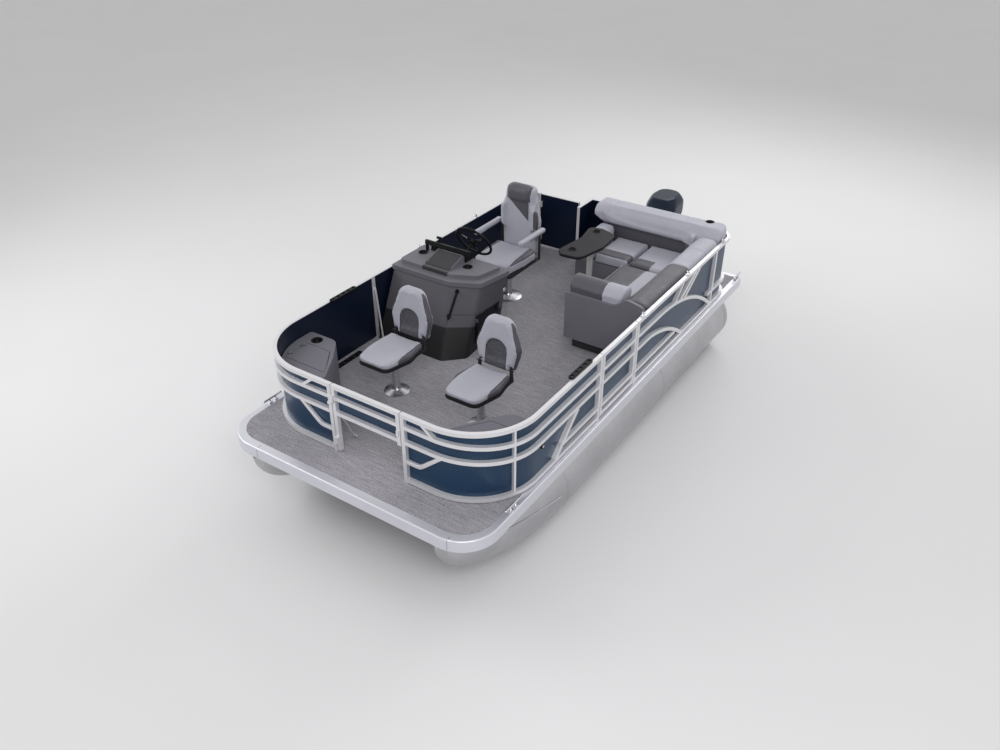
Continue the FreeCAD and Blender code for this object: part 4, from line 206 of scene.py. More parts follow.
# Marine vinyl: a fine pebble grain, slow creases and a soft sheen.
def vinyl(name, color, rough=0.5):
    mat = new_material(name, color, rough)
    vector = coords(mat)
    pebble = add(mat, "ShaderNodeTexVoronoi", {"Vector": vector, "Scale": 620}, feature="SMOOTH_F1")
    crease = noise(mat, vector, scale=14, detail=4, roughness=0.55)
    cloud = noise(mat, vector, scale=5, detail=3, roughness=0.5)
    feed(mat, "Base Color", clouded(mat, cloud, color, 0.95, 1.04))
    feed(mat, "Roughness", swing(mat, crease, rough - 0.07, rough + 0.08))
    feed(mat, "Sheen Weight", 0.12)
    feed(mat, "Sheen Roughness", 0.5)
    relief = compute(mat, "MULTIPLY_ADD", crease, 1.6, pebble.outputs["Distance"])
    bump(mat, relief, strength=0.22, distance=0.0009)
    return mat


# Crossed threads, heathered in streaks of two colors, with a painted highlight where the threads cross.
def woven(name, dark, light, thread, rough=0.8, streak=(6, 90, 90)):
    mat = new_material(name, dark, rough)
    sockets = {"Vector": coords(mat), "Scale": thread, "Distortion": 1.2, "Detail": 1.0}
    waves = [add(mat, "ShaderNodeTexWave", sockets, wave_type="BANDS", bands_direction=way).outputs["Fac"]
             for way in ("X", "Y")]
    weave = compute(mat, "MULTIPLY", *waves)
    long_streaks = noise(mat, coords(mat, streak), scale=1.0, detail=6, roughness=0.75)
    fine_streak = (streak[0] * 12, streak[1] * 5, streak[2])
    fine_streaks = noise(mat, coords(mat, fine_streak), scale=1.0, detail=2, roughness=0.6)
    streaks = compute(mat, "MULTIPLY_ADD", long_streaks, 0.8, swing(mat, fine_streaks, 0.0, 0.5))
    heather = blend_colors(mat, span(mat, streaks, 0.42, 0.88), dark, light)
    # A painted highlight: where the threads cross they are lighter than the light color.
    painted_highlight = span(mat, weave, 0.0, 0.8, 0.0, 0.35)
    feed(mat, "Base Color", blend_colors(mat, painted_highlight, heather, shade(light, 1.15)))
    bump(mat, weave, strength=0.35, distance=0.0008)
    return mat


# Painted sheet, with painted shade on the faces that look to the boat's middle: a darker color there.
def panel_paint(name, outer, inner):
    mat = new_material(name, outer, 0.3, 0.1)
    tex = add(mat, "ShaderNodeTexCoord").outputs
    flat = compute_vector(mat, "MULTIPLY", tex["Object"], (1, 1, 0))
    outward = compute_vector(mat, "DOT_PRODUCT", flat, tex["Normal"])
    cloud = noise(mat, coords(mat, (1, 1, 2.5)), scale=1.4, detail=2, roughness=0.5)
    face = clouded(mat, cloud, outer, 0.86, 1.1)
    # Faces turned to the boat's middle take the inner color, which is painted shade.
    feed(mat, "Base Color", blend_colors(mat, compute(mat, "GREATER_THAN", outward, 0.0), inner, face))
    flake = noise(mat, coords(mat), scale=1500, detail=1, roughness=0.5)
    feed(mat, "Roughness", swing(mat, flake, 0.26, 0.38))
    feed(mat, "Specular IOR Level", 0.25)
    feed(mat, "Coat Weight", 0.1)
    feed(mat, "Coat Roughness", 0.16)
    return mat


MAT = {
    "tube": metal("tube_metal", (0.5, 0.5, 0.52), 0.38, grain=(300, 4, 300), stain=0.14),
    "frame": metal("frame_metal", (0.42, 0.42, 0.44), 0.45),
    "trim": metal("trim_metal", (0.7, 0.7, 0.76), 0.36, grain=(60, 60, 420), stain=0.03, metallic=0.6,
                  relief=0.015),
    "rail": metal("rail_metal", (0.75, 0.745, 0.77), 0.32, grain=(200, 200, 200), stain=0.03, metallic=0.35,
                  relief=0.02),
    "steel": metal("polished_steel", (0.66, 0.66, 0.69), 0.14, grain=(200, 200, 200), stain=0.04,
                   relief=0.02),
    "post": metal("post_metal", (0.62, 0.62, 0.64), 0.3, grain=(30, 30, 400), stain=0.08),
    # The panels' second, darker color is painted shade on their inward faces.
    "panel": panel_paint("panel_paint", (0.013, 0.042, 0.092), (0.005, 0.01, 0.027)),
    "deck": woven("deck_weave", (0.095, 0.091, 0.102), (0.5, 0.485, 0.53), thread=200),
    "console": moulded("console_plastic", (0.098, 0.094, 0.11)),
    "kick": moulded("kick_plastic", (0.011, 0.0105, 0.0125), 0.5),
    "console_top": moulded("console_top_plastic", (0.165, 0.159, 0.185)),
    "black": moulded("black_plastic", (0.008, 0.008, 0.009), 0.38, depth=0.15),
    "shell": moulded("shell_plastic", (0.032, 0.031, 0.035), 0.45, depth=0.15),
    "rubber": moulded("wheel_rubber", (0.007, 0.007, 0.008), 0.42, grain=1400, depth=0.3),
    "lounge": moulded("lounge_plastic", (0.175, 0.17, 0.198), 0.5),
    "box": moulded("box_plastic", (0.155, 0.153, 0.182), 0.5),
    "table": moulded("table_plastic", (0.016, 0.0155, 0.02), 0.4, depth=0.1),
    "white_post": moulded("white_enamel", (0.5, 0.5, 0.49), 0.3, grain=500, depth=0.05),
    "light_vinyl": vinyl("light_vinyl", (0.43, 0.432, 0.5)),
    "dark_vinyl": vinyl("dark_vinyl", (0.08, 0.076, 0.094)),
    "mesh": woven("seat_mesh", (0.014, 0.014, 0.018), (0.12, 0.12, 0.14), 260, 0.7, streak=(70, 70, 70)),
    "motor": moulded("motor_gloss", (0.007, 0.017, 0.036), 0.3, grain=40, depth=0.0),
    "motor_leg": moulded("motor_satin", (0.011, 0.012, 0.014), 0.35, grain=60, depth=0.05),
    "engine": metal("engine_cast", (0.2, 0.2, 0.21), 0.6),
    "piping": vinyl("piping_vinyl", (0.012, 0.012, 0.014), 0.4),
    "seam": moulded("seam_shadow", (0.012, 0.012, 0.013), 0.6),
    "lens": moulded("frosted_lens", (0.5, 0.51, 0.53), 0.25, grain=300, depth=0.2),
    "thread": woven("pale_thread", (0.3, 0.3, 0.32), (0.5, 0.5, 0.53), 900, 0.6, streak=(300, 300, 300)),
}
feed(MAT["motor"], "Coat Weight", 0.12)
feed(MAT["motor"], "Coat Roughness", 0.1)

# Boxes painted darker: the kick bands low on the console and the lounge, and the instrument pod, which has a
# color of its own.
CONSOLE_KICK = ((-1300, 1500, -10), (0, 3000, 268))
LOUNGE_KICK = ((-600, 2500, -10), (1300, 5300, 108))
POD = ((-843, 2100, 646), (-562, 2402, 760))
patch(MAT["console"], *CONSOLE_KICK, (0.014, 0.0135, 0.0155), fade=7)
patch(MAT["lounge"], *LOUNGE_KICK, (0.028, 0.027, 0.031), fade=1)
patch(MAT["console_top"], *POD, (0.036, 0.036, 0.041), fade=1)

NODE_MATERIALS = {
    "tube": ["pontoon_port", "pontoon_starboard", "motor_pod"],
    "frame": ["deck_frame"],
    "trim": ["deck_trim"],
    "deck": ["deck_floor"],
    "rail": ["fence_bow_port", "fence_bow_starboard", "fence_port_aft", "fence_starboard", "bow_gate_frame",
             "port_gate_frame", "stern_gate_frame"],
    "panel": ["fence_panels", "bow_gate_panel", "port_gate_panel", "stern_gate_panel"],
    "steel": ["bow_eyes", "deck_cleats", "canopy_brackets"],
    "post": ["seat_pedestals"],
    "console": ["console_shell"],
    "kick": ["console_door"],
    "console_top": ["console_top"],
    "black": ["console_dash", "console_grab", "throttle_control", "rod_racks"],
    "shell": ["chair_port_shell", "chair_starboard_shell", "helm_seat_shell"],
    "rubber": ["steering_wheel"],
    "lounge": ["lounge_base"],
    "box": ["livewell_lid", "livewell_box", "storage_lid", "storage_box"],
    "table": ["table_top"],
    "white_post": ["table_post"],
    "motor": ["motor_cowl"],
    "motor_leg": ["motor_bracket", "motor_swivel", "motor_leg", "propeller"],
    "engine": ["motor_powerhead"],
    "light_vinyl": ["chair_port_cushion", "chair_port_back", "chair_starboard_cushion",
                    "chair_starboard_back", "helm_seat_cushion", "helm_back_cushion", "helm_arm_port",
                    "helm_arm_starboard", "lounge_port_bolster", "lounge_stern_bolster", "lounge_arms",
                    "lounge_port_seat", "lounge_corner_seat", "lounge_stern_seat"],
}
for key, names in NODE_MATERIALS.items():
    for name in names:
        nodes[name].data.materials.clear()
        nodes[name].data.materials.append(MAT[key])


# Camera, lamps and floor

# The camera's place is in (x, station, height), its angles in degrees and its reach in metres.
CAMERA_PLACE = (3678.1, -3361.6, 4132.8)
CAMERA_AZIMUTH = 33.769
CAMERA_ELEVATION = 33.144
CAMERA_LENS = 31.373
CAMERA_SENSOR = 36
CAMERA_REACH = 100

# Each lamp's place, the place it faces, its width and height, all in metres, and its power.
LAMPS = {
    "key": ((4.5, -6.5, 6.5), (0, 0, 0.6), 5, 3, 205),
    "fill": ((-6.0, -3.5, 5.0), (0, 0, 0.6), 5, 4, 135),
    "back": ((1.0, 7.5, 6.5), (0, 0, 0.8), 7, 3, 235),
}

# The world's strength, and the strength that shines back from glossy faces.
WORLD_STRENGTH = 0.56
WORLD_GLOSS = 0.86

# The floor's half width in metres, and the colors that it clouds between.
FLOOR_HALF = 30.0
FLOOR_COLORS = ((0.8, 0.8, 0.81), (0.84, 0.84, 0.85))


def make_camera():
    data = bpy.data.cameras.new("camera")
    data.sensor_width = CAMERA_SENSOR
    data.lens = CAMERA_LENS
    data.clip_end = CAMERA_REACH
    camera = bpy.data.objects.new("camera", data)
    scene.collection.objects.link(camera)
    az = math.radians(CAMERA_AZIMUTH)
    el = math.radians(CAMERA_ELEVATION)
    back = Vector((math.sin(az) * math.cos(el), -math.cos(az) * math.cos(el), math.sin(el)))
    camera.rotation_euler = back.to_track_quat("Z", "Y").to_euler()
    camera.location = at(*CAMERA_PLACE)
    scene.camera = camera


def make_lamps():
    for name, (place, target, width, height, power) in LAMPS.items():
        data = bpy.data.lights.new(name, "AREA")
        data.shape = "RECTANGLE"
        data.size = width
        data.size_y = height
        data.energy = power
        lamp = bpy.data.objects.new(name, data)
        lamp.location = place
        lamp.rotation_euler = (Vector(place) - Vector(target)).to_track_quat("Z", "Y").to_euler()
        scene.collection.objects.link(lamp)


def make_world():
    world = bpy.data.worlds.new("world")
    scene.world = world
    world.use_nodes = True
    tree = world.node_tree
    background = tree.nodes["Background"]
    background.inputs["Color"].default_value = (1, 1, 1, 1)
    path = tree.nodes.new("ShaderNodeLightPath")
    strength = tree.nodes.new("ShaderNodeMapRange")
    strength.inputs["To Min"].default_value = WORLD_STRENGTH
    strength.inputs["To Max"].default_value = WORLD_GLOSS
    tree.links.new(path.outputs["Is Glossy Ray"], strength.inputs["Value"])
    tree.links.new(strength.outputs["Result"], background.inputs["Strength"])


def make_floor():
    mesh = bpy.data.meshes.new("floor")
    half = FLOOR_HALF
    corners = [(-half, -half, 0), (half, -half, 0), (half, half, 0), (-half, half, 0)]
    mesh.from_pydata(corners, [], [(0, 1, 2, 3)])
    floor = bpy.data.objects.new("floor", mesh)
    scene.collection.objects.link(floor)
    mat = new_material("floor_paint", (0.82, 0.82, 0.83), 0.85)
    cloud = noise(mat, coords(mat), scale=0.6, detail=2, roughness=0.5)
    feed(mat, "Base Color", blend_colors(mat, cloud, *FLOOR_COLORS))
    mesh.materials.append(mat)


# Mesh tools

def new_object(name, data, body, slot, *mats):
    obj = bpy.data.objects.new(name, data)
    scene.collection.objects.link(obj)
    for mat in mats:
        data.materials.append(mat)
    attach(obj, body)
    return obj


def mesh_from(name, bm):
    mesh = bpy.data.meshes.new(name)
    bm.to_mesh(mesh)
    bm.free()
    return mesh


def points_of(mesh):
    flat = np.empty(len(mesh.vertices) * 3)
    mesh.vertices.foreach_get("co", flat)
    return flat.reshape(-1, 3)


def set_points(mesh, points):
    mesh.vertices.foreach_set("co", points.ravel())
    mesh.update()


def normals_of(mesh):
    flat = np.empty(len(mesh.vertices) * 3)
    mesh.vertex_normals.foreach_get("vector", flat)
    return flat.reshape(-1, 3)


def shade_smooth(mesh):
    mesh.polygons.foreach_set("use_smooth", np.ones(len(mesh.polygons), bool))
    mesh.update()


# One subdivision, in the render alone.
def subdivide(obj):
    smooth = obj.modifiers.new("smooth", "SUBSURF")
    smooth.levels = 0
    smooth.render_levels = 1


# Each point moves towards the middle of its neighbours.
def relax(mesh, rounds, factor=0.5):
    points = points_of(mesh)
    flat = np.empty(len(mesh.edges) * 2, dtype=int)
    mesh.edges.foreach_get("vertices", flat)
    first, second = flat.reshape(-1, 2).T
    ends = np.concatenate((first, second))
    others = np.concatenate((second, first))
    count = np.maximum(np.bincount(ends, minlength=len(points)), 1)
    for _ in range(rounds):
        sums = [np.bincount(ends, points[others, axis], len(points)) for axis in range(3)]
        middle = np.stack([total / count for total in sums], 1)
        points += factor * (middle - points)
    set_points(mesh, points)


# The closed skin of a bmesh, remade from voxels of so many millimetres.
def voxel_skin(bm, voxel):
    source = bpy.data.objects.new("soft", mesh_from("soft", bm))
    scene.collection.objects.link(source)
    remesh = source.modifiers.new("remesh", "REMESH")
    remesh.mode = "VOXEL"
    remesh.voxel_size = voxel / 1000
    graph = bpy.context.evaluated_depsgraph_get()
    result = bpy.data.meshes.new_from_object(source.evaluated_get(graph))
    bpy.data.objects.remove(source)
    return result


# The mesh stays within the box of its nodes, apart from the millimetres it may rise above it.
def hold_in(mesh, nodes_in, rise=0):
    low = np.min([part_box(node)[0] for node in nodes_in], axis=0)
    high = np.max([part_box(node)[1] for node in nodes_in], axis=0) + np.array((0, 0, rise)) / 1000
    set_points(mesh, np.clip(points_of(mesh), low, high))


# Cloth: its pressure, its weight, the quality of its steps, and how many steps it takes.
CLOTH_PRESSURE = 4.0
CLOTH_MASS = 0.3
CLOTH_QUALITY = 4
CLOTH_FRAMES = 14
TINY = 1e-9


# Cloth under pressure for every pad at once, with the way that any point moves held under the
# pad's limit.
def puff(pieces):
    before = [points_of(piece["obj"].data) for piece in pieces]
    for piece in pieces:
        cloth = piece["obj"].modifiers.new("cloth", "CLOTH")
        cloth.settings.quality = CLOTH_QUALITY
        cloth.settings.mass = CLOTH_MASS
        cloth.settings.use_pressure = True
        cloth.settings.uniform_pressure_force = CLOTH_PRESSURE
        cloth.settings.effector_weights.gravity = 0
        cloth.point_cache.frame_start = 1
        cloth.point_cache.frame_end = CLOTH_FRAMES
    for number in range(1, CLOTH_FRAMES + 1):
        scene.frame_set(number)
    graph = bpy.context.evaluated_depsgraph_get()
    after = [points_of(piece["obj"].evaluated_get(graph).data) for piece in pieces]
    for piece, start, end in zip(pieces, before, after):
        obj = piece["obj"]
        obj.modifiers.remove(obj.modifiers["cloth"])
        step = end - start
        length = np.maximum(np.linalg.norm(step, axis=1, keepdims=True), TINY)
        set_points(obj.data, start + step * np.minimum(1, piece["limit"] / 1000 / length))
    scene.frame_set(1)


# Seams. A field gives each point's distance from the seam in millimetres, from points in
# (x, station, height), and a region says where the seam runs.

def anywhere(p):
    return np.ones(len(p), bool)


# One seam: how deep and wide it sinks, and the radius of its piping, if it has any.
def seam(field, region, depth, width, pipe=None):
    return {"field": field, "region": region, "depth": depth, "width": width, "pipe": pipe}


# The field of a flat cut across the x, station or height axis, which are 0, 1 and 2.
def plane(axis, value):
    return lambda p: p[:, axis] - value


# The field of a seat's inset top, which narrows by its taper from front to rear.
def seat_top(middle, front, length, half, taper):
    return lambda p: np.abs(p[:, 0] - middle) - (half - taper * (p[:, 1] - front) / length)


def slope_of(field, p, step=0.5):
    return np.stack([(field(p + step * axis) - field(p - step * axis)) / (2 * step) for axis in np.eye(3)], 1)


# How far the surface has to run along a field's slope for its points to slide onto the seam.
SLIDE_SLOPE = 0.25


# The points beside a seam slide along the surface onto it, and edges then join them up.
def draw_seam(mesh, field, region, reach):
    points = to_mm(points_of(mesh))
    value = field(points)
    near = np.flatnonzero((np.abs(value) < reach) & region(points))
    slope = slope_of(field, points[near])
    normals = normals_of(mesh)[near]
    flat = slope - normals * (slope * normals).sum(1)[:, None]
    along = (slope * flat).sum(1)
    able = along > SLIDE_SLOPE
    near, flat, along = near[able], flat[able], along[able]
    points[near] -= flat * (value[near] / along)[:, None]
    set_points(mesh, from_mm(points))
    bm = bmesh.new()
    bm.from_mesh(mesh)
    bm.verts.ensure_lookup_table()
    on_seam = [bm.verts[int(number)] for number in near]
    bmesh.ops.connect_verts(bm, verts=on_seam)
    bm.to_mesh(mesh)
    bm.free()
    return near


# Runs of piping have more points than the first, and those that close in a ring than the second.
RUN_SHORTEST = 6
RING_SHORTEST = 20


# The seam's points in order, as runs of places that say whether they close.
def runs_of(mesh, near):
    def place(number):
        return mesh.vertices[number].co

    chosen = set(int(number) for number in near)
    links = {}
    for edge in mesh.edges:
        a, b = edge.vertices
        if a in chosen and b in chosen:
            links.setdefault(a, []).append(b)
            links.setdefault(b, []).append(a)
    used = set()
    runs = []
    ends = [a for a in links if len(links[a]) == 1]
    for start in ends + list(links):
        if start in used:
            continue
        run = [start]
        used.add(start)
        while True:
            here = place(run[-1])
            options = [b for b in links[run[-1]] if b not in used]
            if not options:
                break
            best = options[0]
            if len(run) > 1:
                ahead = (here - place(run[-2])).normalized()
                best = max(options, key=lambda b: (place(b) - here).normalized().dot(ahead))
            used.add(best)
            run.append(best)
        if len(run) > RUN_SHORTEST:
            closed = run[0] in links[run[-1]] and len(run) > RING_SHORTEST
            runs.append(([place(b).copy() for b in run], closed))
    return runs


def smooth_run(run, rounds=3):
    for _ in range(rounds):
        run = [run[0]] + [(a + b * 2 + c) / 4 for a, b, c in zip(run, run[1:], run[2:])] + [run[-1]]
    return run


# A round line of so many millimetres' radius through each run of places.
def tube(name, runs, radius, body, slot, mat, roundness=1):
    data = bpy.data.curves.new(name, "CURVE")
    data.dimensions = "3D"
    data.bevel_depth = radius / 1000
    data.bevel_resolution = roundness
    data.use_fill_caps = True
    for run, closed in runs:
        spline = data.splines.new("NURBS")
        spline.points.add(len(run) - 1)
        for target, place in zip(spline.points, run):
            target.co = (*place, 1)
        spline.order_u = 3
        spline.use_endpoint_u = True
        spline.use_cyclic_u = closed
        spline.resolution_u = 3
    return new_object(name, data, body, slot, mat)


# Pads

PADS = []

# What all pads share: how full they are, how near points merge, in metres, the rounds that soften
# a pad before and after the cloth, how far from a seam points are drawn onto it, as a part of the
# pad's voxel, and how round its piping is.
MERGE = 0.00001
ROUNDS_BEFORE = 3
ROUNDS_AFTER = 2
SEAM_REACH = 0.62
FINE_ROUNDNESS = 2


# One padded piece from its CAD solids, with seams and with tones of (material, test on points).
# It starts shrunk into its solids, swells up to its limit and may rise above them, all in
# millimetres.
def pad(name, nodes_in, body, tones, seams, voxel=8, shrink=5, limit=9, rise=0):
    bm = bmesh.new()
    for node in nodes_in:
        bm.from_mesh(nodes[node].data)
    bmesh.ops.remove_doubles(bm, verts=bm.verts, dist=MERGE)
    mesh = voxel_skin(bm, voxel)
    relax(mesh, ROUNDS_BEFORE)
    set_points(mesh, points_of(mesh) - normals_of(mesh) * shrink / 1000)
    obj = new_object(name, mesh, body, "vinyl_light", *[tone[0] for tone in tones])
    PADS.append({"obj": obj, "nodes": nodes_in, "body": body, "tones": tones, "seams": seams,
                 "voxel": voxel, "limit": limit, "rise": rise})


def sink_seams(mesh, seams):
    points = to_mm(points_of(mesh))
    sink = np.zeros(len(points))
    for row in seams:
        away = row["field"](points) / row["width"]
        sink = np.maximum(sink, np.where(row["region"](points), row["depth"] * np.exp(-away * away), 0))
    set_points(mesh, from_mm(points - normals_of(mesh) * sink[:, None]))


# Each face takes the first tone whose test holds at its middle.
def color_faces(mesh, tones):
    flat = np.empty(len(mesh.polygons) * 3)
    mesh.polygons.foreach_get("center", flat)
    centres = to_mm(flat.reshape(-1, 3))
    chosen = np.zeros(len(centres), int)
    free = np.ones(len(centres), bool)
    for number, (_, test) in enumerate(tones):
        hit = free & test(centres)
        chosen[hit] = number
        free &= ~hit
    mesh.polygons.foreach_set("material_index", chosen)


def finish_pad(piece):
    obj, mesh = piece["obj"], piece["obj"].data
    relax(mesh, ROUNDS_AFTER)
    hold_in(mesh, piece["nodes"], piece["rise"])
    pipes = []
    for row in piece["seams"]:
        near = draw_seam(mesh, row["field"], row["region"], piece["voxel"] * SEAM_REACH)
        if row["pipe"]:
            pipes.append((near, row["pipe"]))
    sink_seams(mesh, piece["seams"])
    for number, (near, radius) in enumerate(pipes):
        runs = [(smooth_run(run), closed) for run, closed in runs_of(mesh, near)]
        if runs:
            name = "%s_piping_%d" % (obj.name, number)
            tube(name, runs, radius, piece["body"], "black_plastic", MAT["piping"], FINE_ROUNDNESS)
    color_faces(mesh, piece["tones"])
    shade_smooth(mesh)
    subdivide(obj)
    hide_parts(*piece["nodes"])


LIGHT = (MAT["light_vinyl"], anywhere)
DARK = MAT["dark_vinyl"]
SIDES = (("port", 1), ("starboard", -1))


# Fishing chairs: the middle of each, the seat's front, length and top, the seat's inset top, how
# far its edges lie under the top, and where its dark sides start.
CHAIR_X = 432
CHAIR_FRONT = 931
CHAIR_LONG = 480
CHAIR_SEAT = 440
CHAIR_INSET = 180
CHAIR_TAPER = 30
CHAIR_SEAM_LOW = 52
CHAIR_BAND = 42
CHAIR_DARK_FROM = 975

# The back's hinge, its lean, and the hinge in the back's own (depth, height).
CHAIR_HINGE = (1422, 448)
CHAIR_LEAN = math.atan(45 / 430)
BACK_HINGE = (1, 8)

# The arch of mesh in the back's front: half its width, where its round top starts, the radius
# and flat of that top, and the box that its seam stays in.
ARCH_HALF = 95
ARCH_SPRING = 145
ARCH_TOP_RADIUS = 90
ARCH_TOP_FLAT = 5
ARCH_BOX = (120, 34, 260)

# The dark oval on the back's sides: its middle and half size in (depth, height), and where the
# sides are.
OVAL_MIDDLE = (36, 185)
OVAL_HALF = (27, 225)
SIDE_ACROSS = 106
SIDE_DEPTH = (4, 74)
SIDE_HEIGHT = (-22, 404)


def make_fishing_chair(side, middle):
    body = "chair_" + side
    top_edge = seat_top(middle, CHAIR_FRONT, CHAIR_LONG, CHAIR_INSET, CHAIR_TAPER)
    band_edge = plane(2, CHAIR_SEAT - CHAIR_BAND)
    pad("seat_pad_" + side, [body + "_cushion"], body,
        [(MAT["shell"], lambda p: band_edge(p) < 0),
         (DARK, lambda p: (top_edge(p) > 0) & (p[:, 1] > CHAIR_DARK_FROM)), LIGHT],
        [seam(top_edge, lambda p: p[:, 2] > CHAIR_SEAT - CHAIR_SEAM_LOW, depth=3, width=4, pipe=1.3),
         seam(band_edge, anywhere, depth=2.5, width=4)], limit=8)

    # The back's own (across, depth, height), which lean with it.
    def on_back(p):
        dy, dz = p[:, 1] - CHAIR_HINGE[0], p[:, 2] - CHAIR_HINGE[1]
        height = dz * math.cos(CHAIR_LEAN) + dy * math.sin(CHAIR_LEAN) + BACK_HINGE[1]
        depth = dy * math.cos(CHAIR_LEAN) - dz * math.sin(CHAIR_LEAN) + BACK_HINGE[0]
        return np.abs(p[:, 0] - middle), depth, height

    def arch(p):
        across, _, height = on_back(p)
        above = np.hypot(np.maximum(across - ARCH_TOP_FLAT, 0), height - ARCH_SPRING) - ARCH_TOP_RADIUS
        return np.where(height > ARCH_SPRING, above, across - ARCH_HALF)

    def in_front(p):
        across, depth, height = on_back(p)
        return (across < ARCH_BOX[0]) & (depth < ARCH_BOX[1]) & (height < ARCH_BOX[2])

    def oval(p):
        _, depth, height = on_back(p)
        taper = np.sqrt(np.clip(1 - ((height - OVAL_MIDDLE[1]) / OVAL_HALF[1]) ** 2, 0.0, 1))
        return np.abs(depth - OVAL_MIDDLE[0]) - OVAL_HALF[0] * taper

    def on_side(p):
        across, depth, height = on_back(p)
        deep = (depth > SIDE_DEPTH[0]) & (depth < SIDE_DEPTH[1])
        return (across > SIDE_ACROSS) & deep & (height > SIDE_HEIGHT[0]) & (height < SIDE_HEIGHT[1])

    pad("back_pad_" + side, [body + "_back"], body + "_back",
        [(MAT["mesh"], lambda p: (arch(p) < 0) & in_front(p)),
         (DARK, lambda p: (oval(p) < 0) & on_side(p)), LIGHT],
        [seam(arch, in_front, depth=3, width=5, pipe=2.6), seam(oval, on_side, depth=2, width=4, pipe=1.6)],
        limit=8)


# Helm chair: its middle, the seat's front, length and top, the seat's inset top, how far its
# edges lie under the top, how far outside the inset the band starts, and where the dark sides do.
HELM_X = -588
HELM_FRONT = 2824
HELM_LONG = 510
HELM_SEAT = 510
HELM_INSET = 198
HELM_TAPER = 34
HELM_SEAM_LOW = 62
HELM_BAND = 30
HELM_BAND_FROM = 4
HELM_DARK_FROM = 2900

# The back: its front face, how deep the pillow, the face and the wings reach behind it, half the
# pillow's width, its lower edge, the face's top, and where the seams on the face and wings run.
HELM_FACE = 3346
PILLOW_DEEP = 62
FACE_DEEP = 40
WING_DEEP = 34
PILLOW_HALF = 127
PILLOW_LOW = 958
FACE_HIGH = 962
CENTRE_X = -62
CENTRE_LOW = 540
STRIP_X = 112
STRIP_LOW = 560
WING_X = 186
WING_LOW = 560

# The dark wedge at the face's top starts at this x, under a line with this normal in (x, height).
WEDGE_X = -115
WEDGE_SEAM = 113
WEDGE_NORMAL = (0.654, 0.757)

# The arm rests' lower edge, and where their dark undersides start.
ARM_EDGE = 682
ARM_DARK_FROM = 3120


def make_helm_chair():
    top_edge = seat_top(HELM_X, HELM_FRONT, HELM_LONG, HELM_INSET, HELM_TAPER)
    band_edge = plane(2, HELM_SEAT - HELM_BAND)

    def seat_sides(p):
        return (top_edge(p) > 0) & (band_edge(p) > 0) & (p[:, 1] > HELM_DARK_FROM)

    pad("helm_seat_pad", ["helm_seat_cushion"], "helm_chair", [(DARK, seat_sides), LIGHT],
        [seam(top_edge, lambda p: p[:, 2] > HELM_SEAT - HELM_SEAM_LOW, depth=3, width=5, pipe=1.4),
         seam(band_edge, lambda p: top_edge(p) > HELM_BAND_FROM, depth=2, width=4)], voxel=9)

    def across(p):
        return p[:, 0] - HELM_X

    def pillow(p):
        return np.maximum(np.abs(across(p)) - PILLOW_HALF, PILLOW_LOW - p[:, 2])

    def pillow_zone(p):
        return p[:, 1] < HELM_FACE + PILLOW_DEEP

    def wedge(p):
        return (p[:, 2] - PILLOW_LOW) * WEDGE_NORMAL[1] + (across(p) - WEDGE_X) * WEDGE_NORMAL[0]

    def wedge_zone(p):
        return face(p) & (np.abs(across(p)) < WEDGE_SEAM) & (p[:, 2] < PILLOW_LOW)

    def strip(p):
        return across(p) - STRIP_X

    def centre(p):
        return across(p) - CENTRE_X

    def face(p):
        return (p[:, 1] < HELM_FACE + FACE_DEEP) & (p[:, 2] < FACE_HIGH)

    wing = plane(1, HELM_FACE + WING_DEEP)

    def outer(p):
        return (np.abs(across(p)) > WING_X) & (p[:, 2] > WING_LOW)

    def dark_face(p):
        inner = (wedge(p) > 0) & (strip(p) < 0) & face(p) & (across(p) > WEDGE_X)
        return inner | ((wing(p) < 0) & outer(p))

    pad("helm_back_pad", ["helm_back_cushion"], "helm_chair",
        [(DARK, lambda p: (pillow(p) < 0) & pillow_zone(p)), (DARK, dark_face), LIGHT],
        [seam(pillow, pillow_zone, depth=4, width=5, pipe=2.0), seam(wedge, wedge_zone, depth=2, width=4),
         seam(strip, lambda p: face(p) & (p[:, 2] > STRIP_LOW), depth=3, width=5),
         seam(centre, lambda p: face(p) & (p[:, 2] > CENTRE_LOW), depth=3, width=4),
         seam(wing, outer, depth=2.5, width=4, pipe=1.4)], voxel=9)
    underside = plane(2, ARM_EDGE)
    for side, _ in SIDES:
        pad("helm_arm_pad_" + side, ["helm_arm_" + side], "helm_arm_" + side,
            [(DARK, lambda p: (underside(p) < 0) & (p[:, 1] > ARM_DARK_FROM)), LIGHT],
            [seam(underside, anywhere, depth=1.5, width=3)], voxel=6, shrink=2, limit=4)


# Lounge: where the tones of its bolsters and arms meet, the bolsters' other seams, the stern
# bolster's roll, and how far aft and to port the dark front under the roll and the arm reach.
PORT_TONE_SPLIT = 3535
PORT_REAR_SEAM = 3920
STERN_SEAMS = (-51, 726)
STERN_SEAMS_LOW = 410
ARM_TONE_SPLIT = 714
ARM_FRONT = 3500
ROLL_LOW = 532
ROLL_FRONT = (903, 4300)

# The dark bands round the seats: how far in they start from the seat's edge, how wide the stern
# seat's is, the outer side of the port seat's, how deep the corner seat's is, and the height from
# which faces and seams count as the seat's top.
BAND_START = 34
BAND_STERN = 130
BAND_OUTER = 654
BAND_CORNER = 165
BAND_PAST = 6
SEAT_TONE_LOW = 360
SEAT_SEAM_LOW = 355
SEAT_RISE = 6


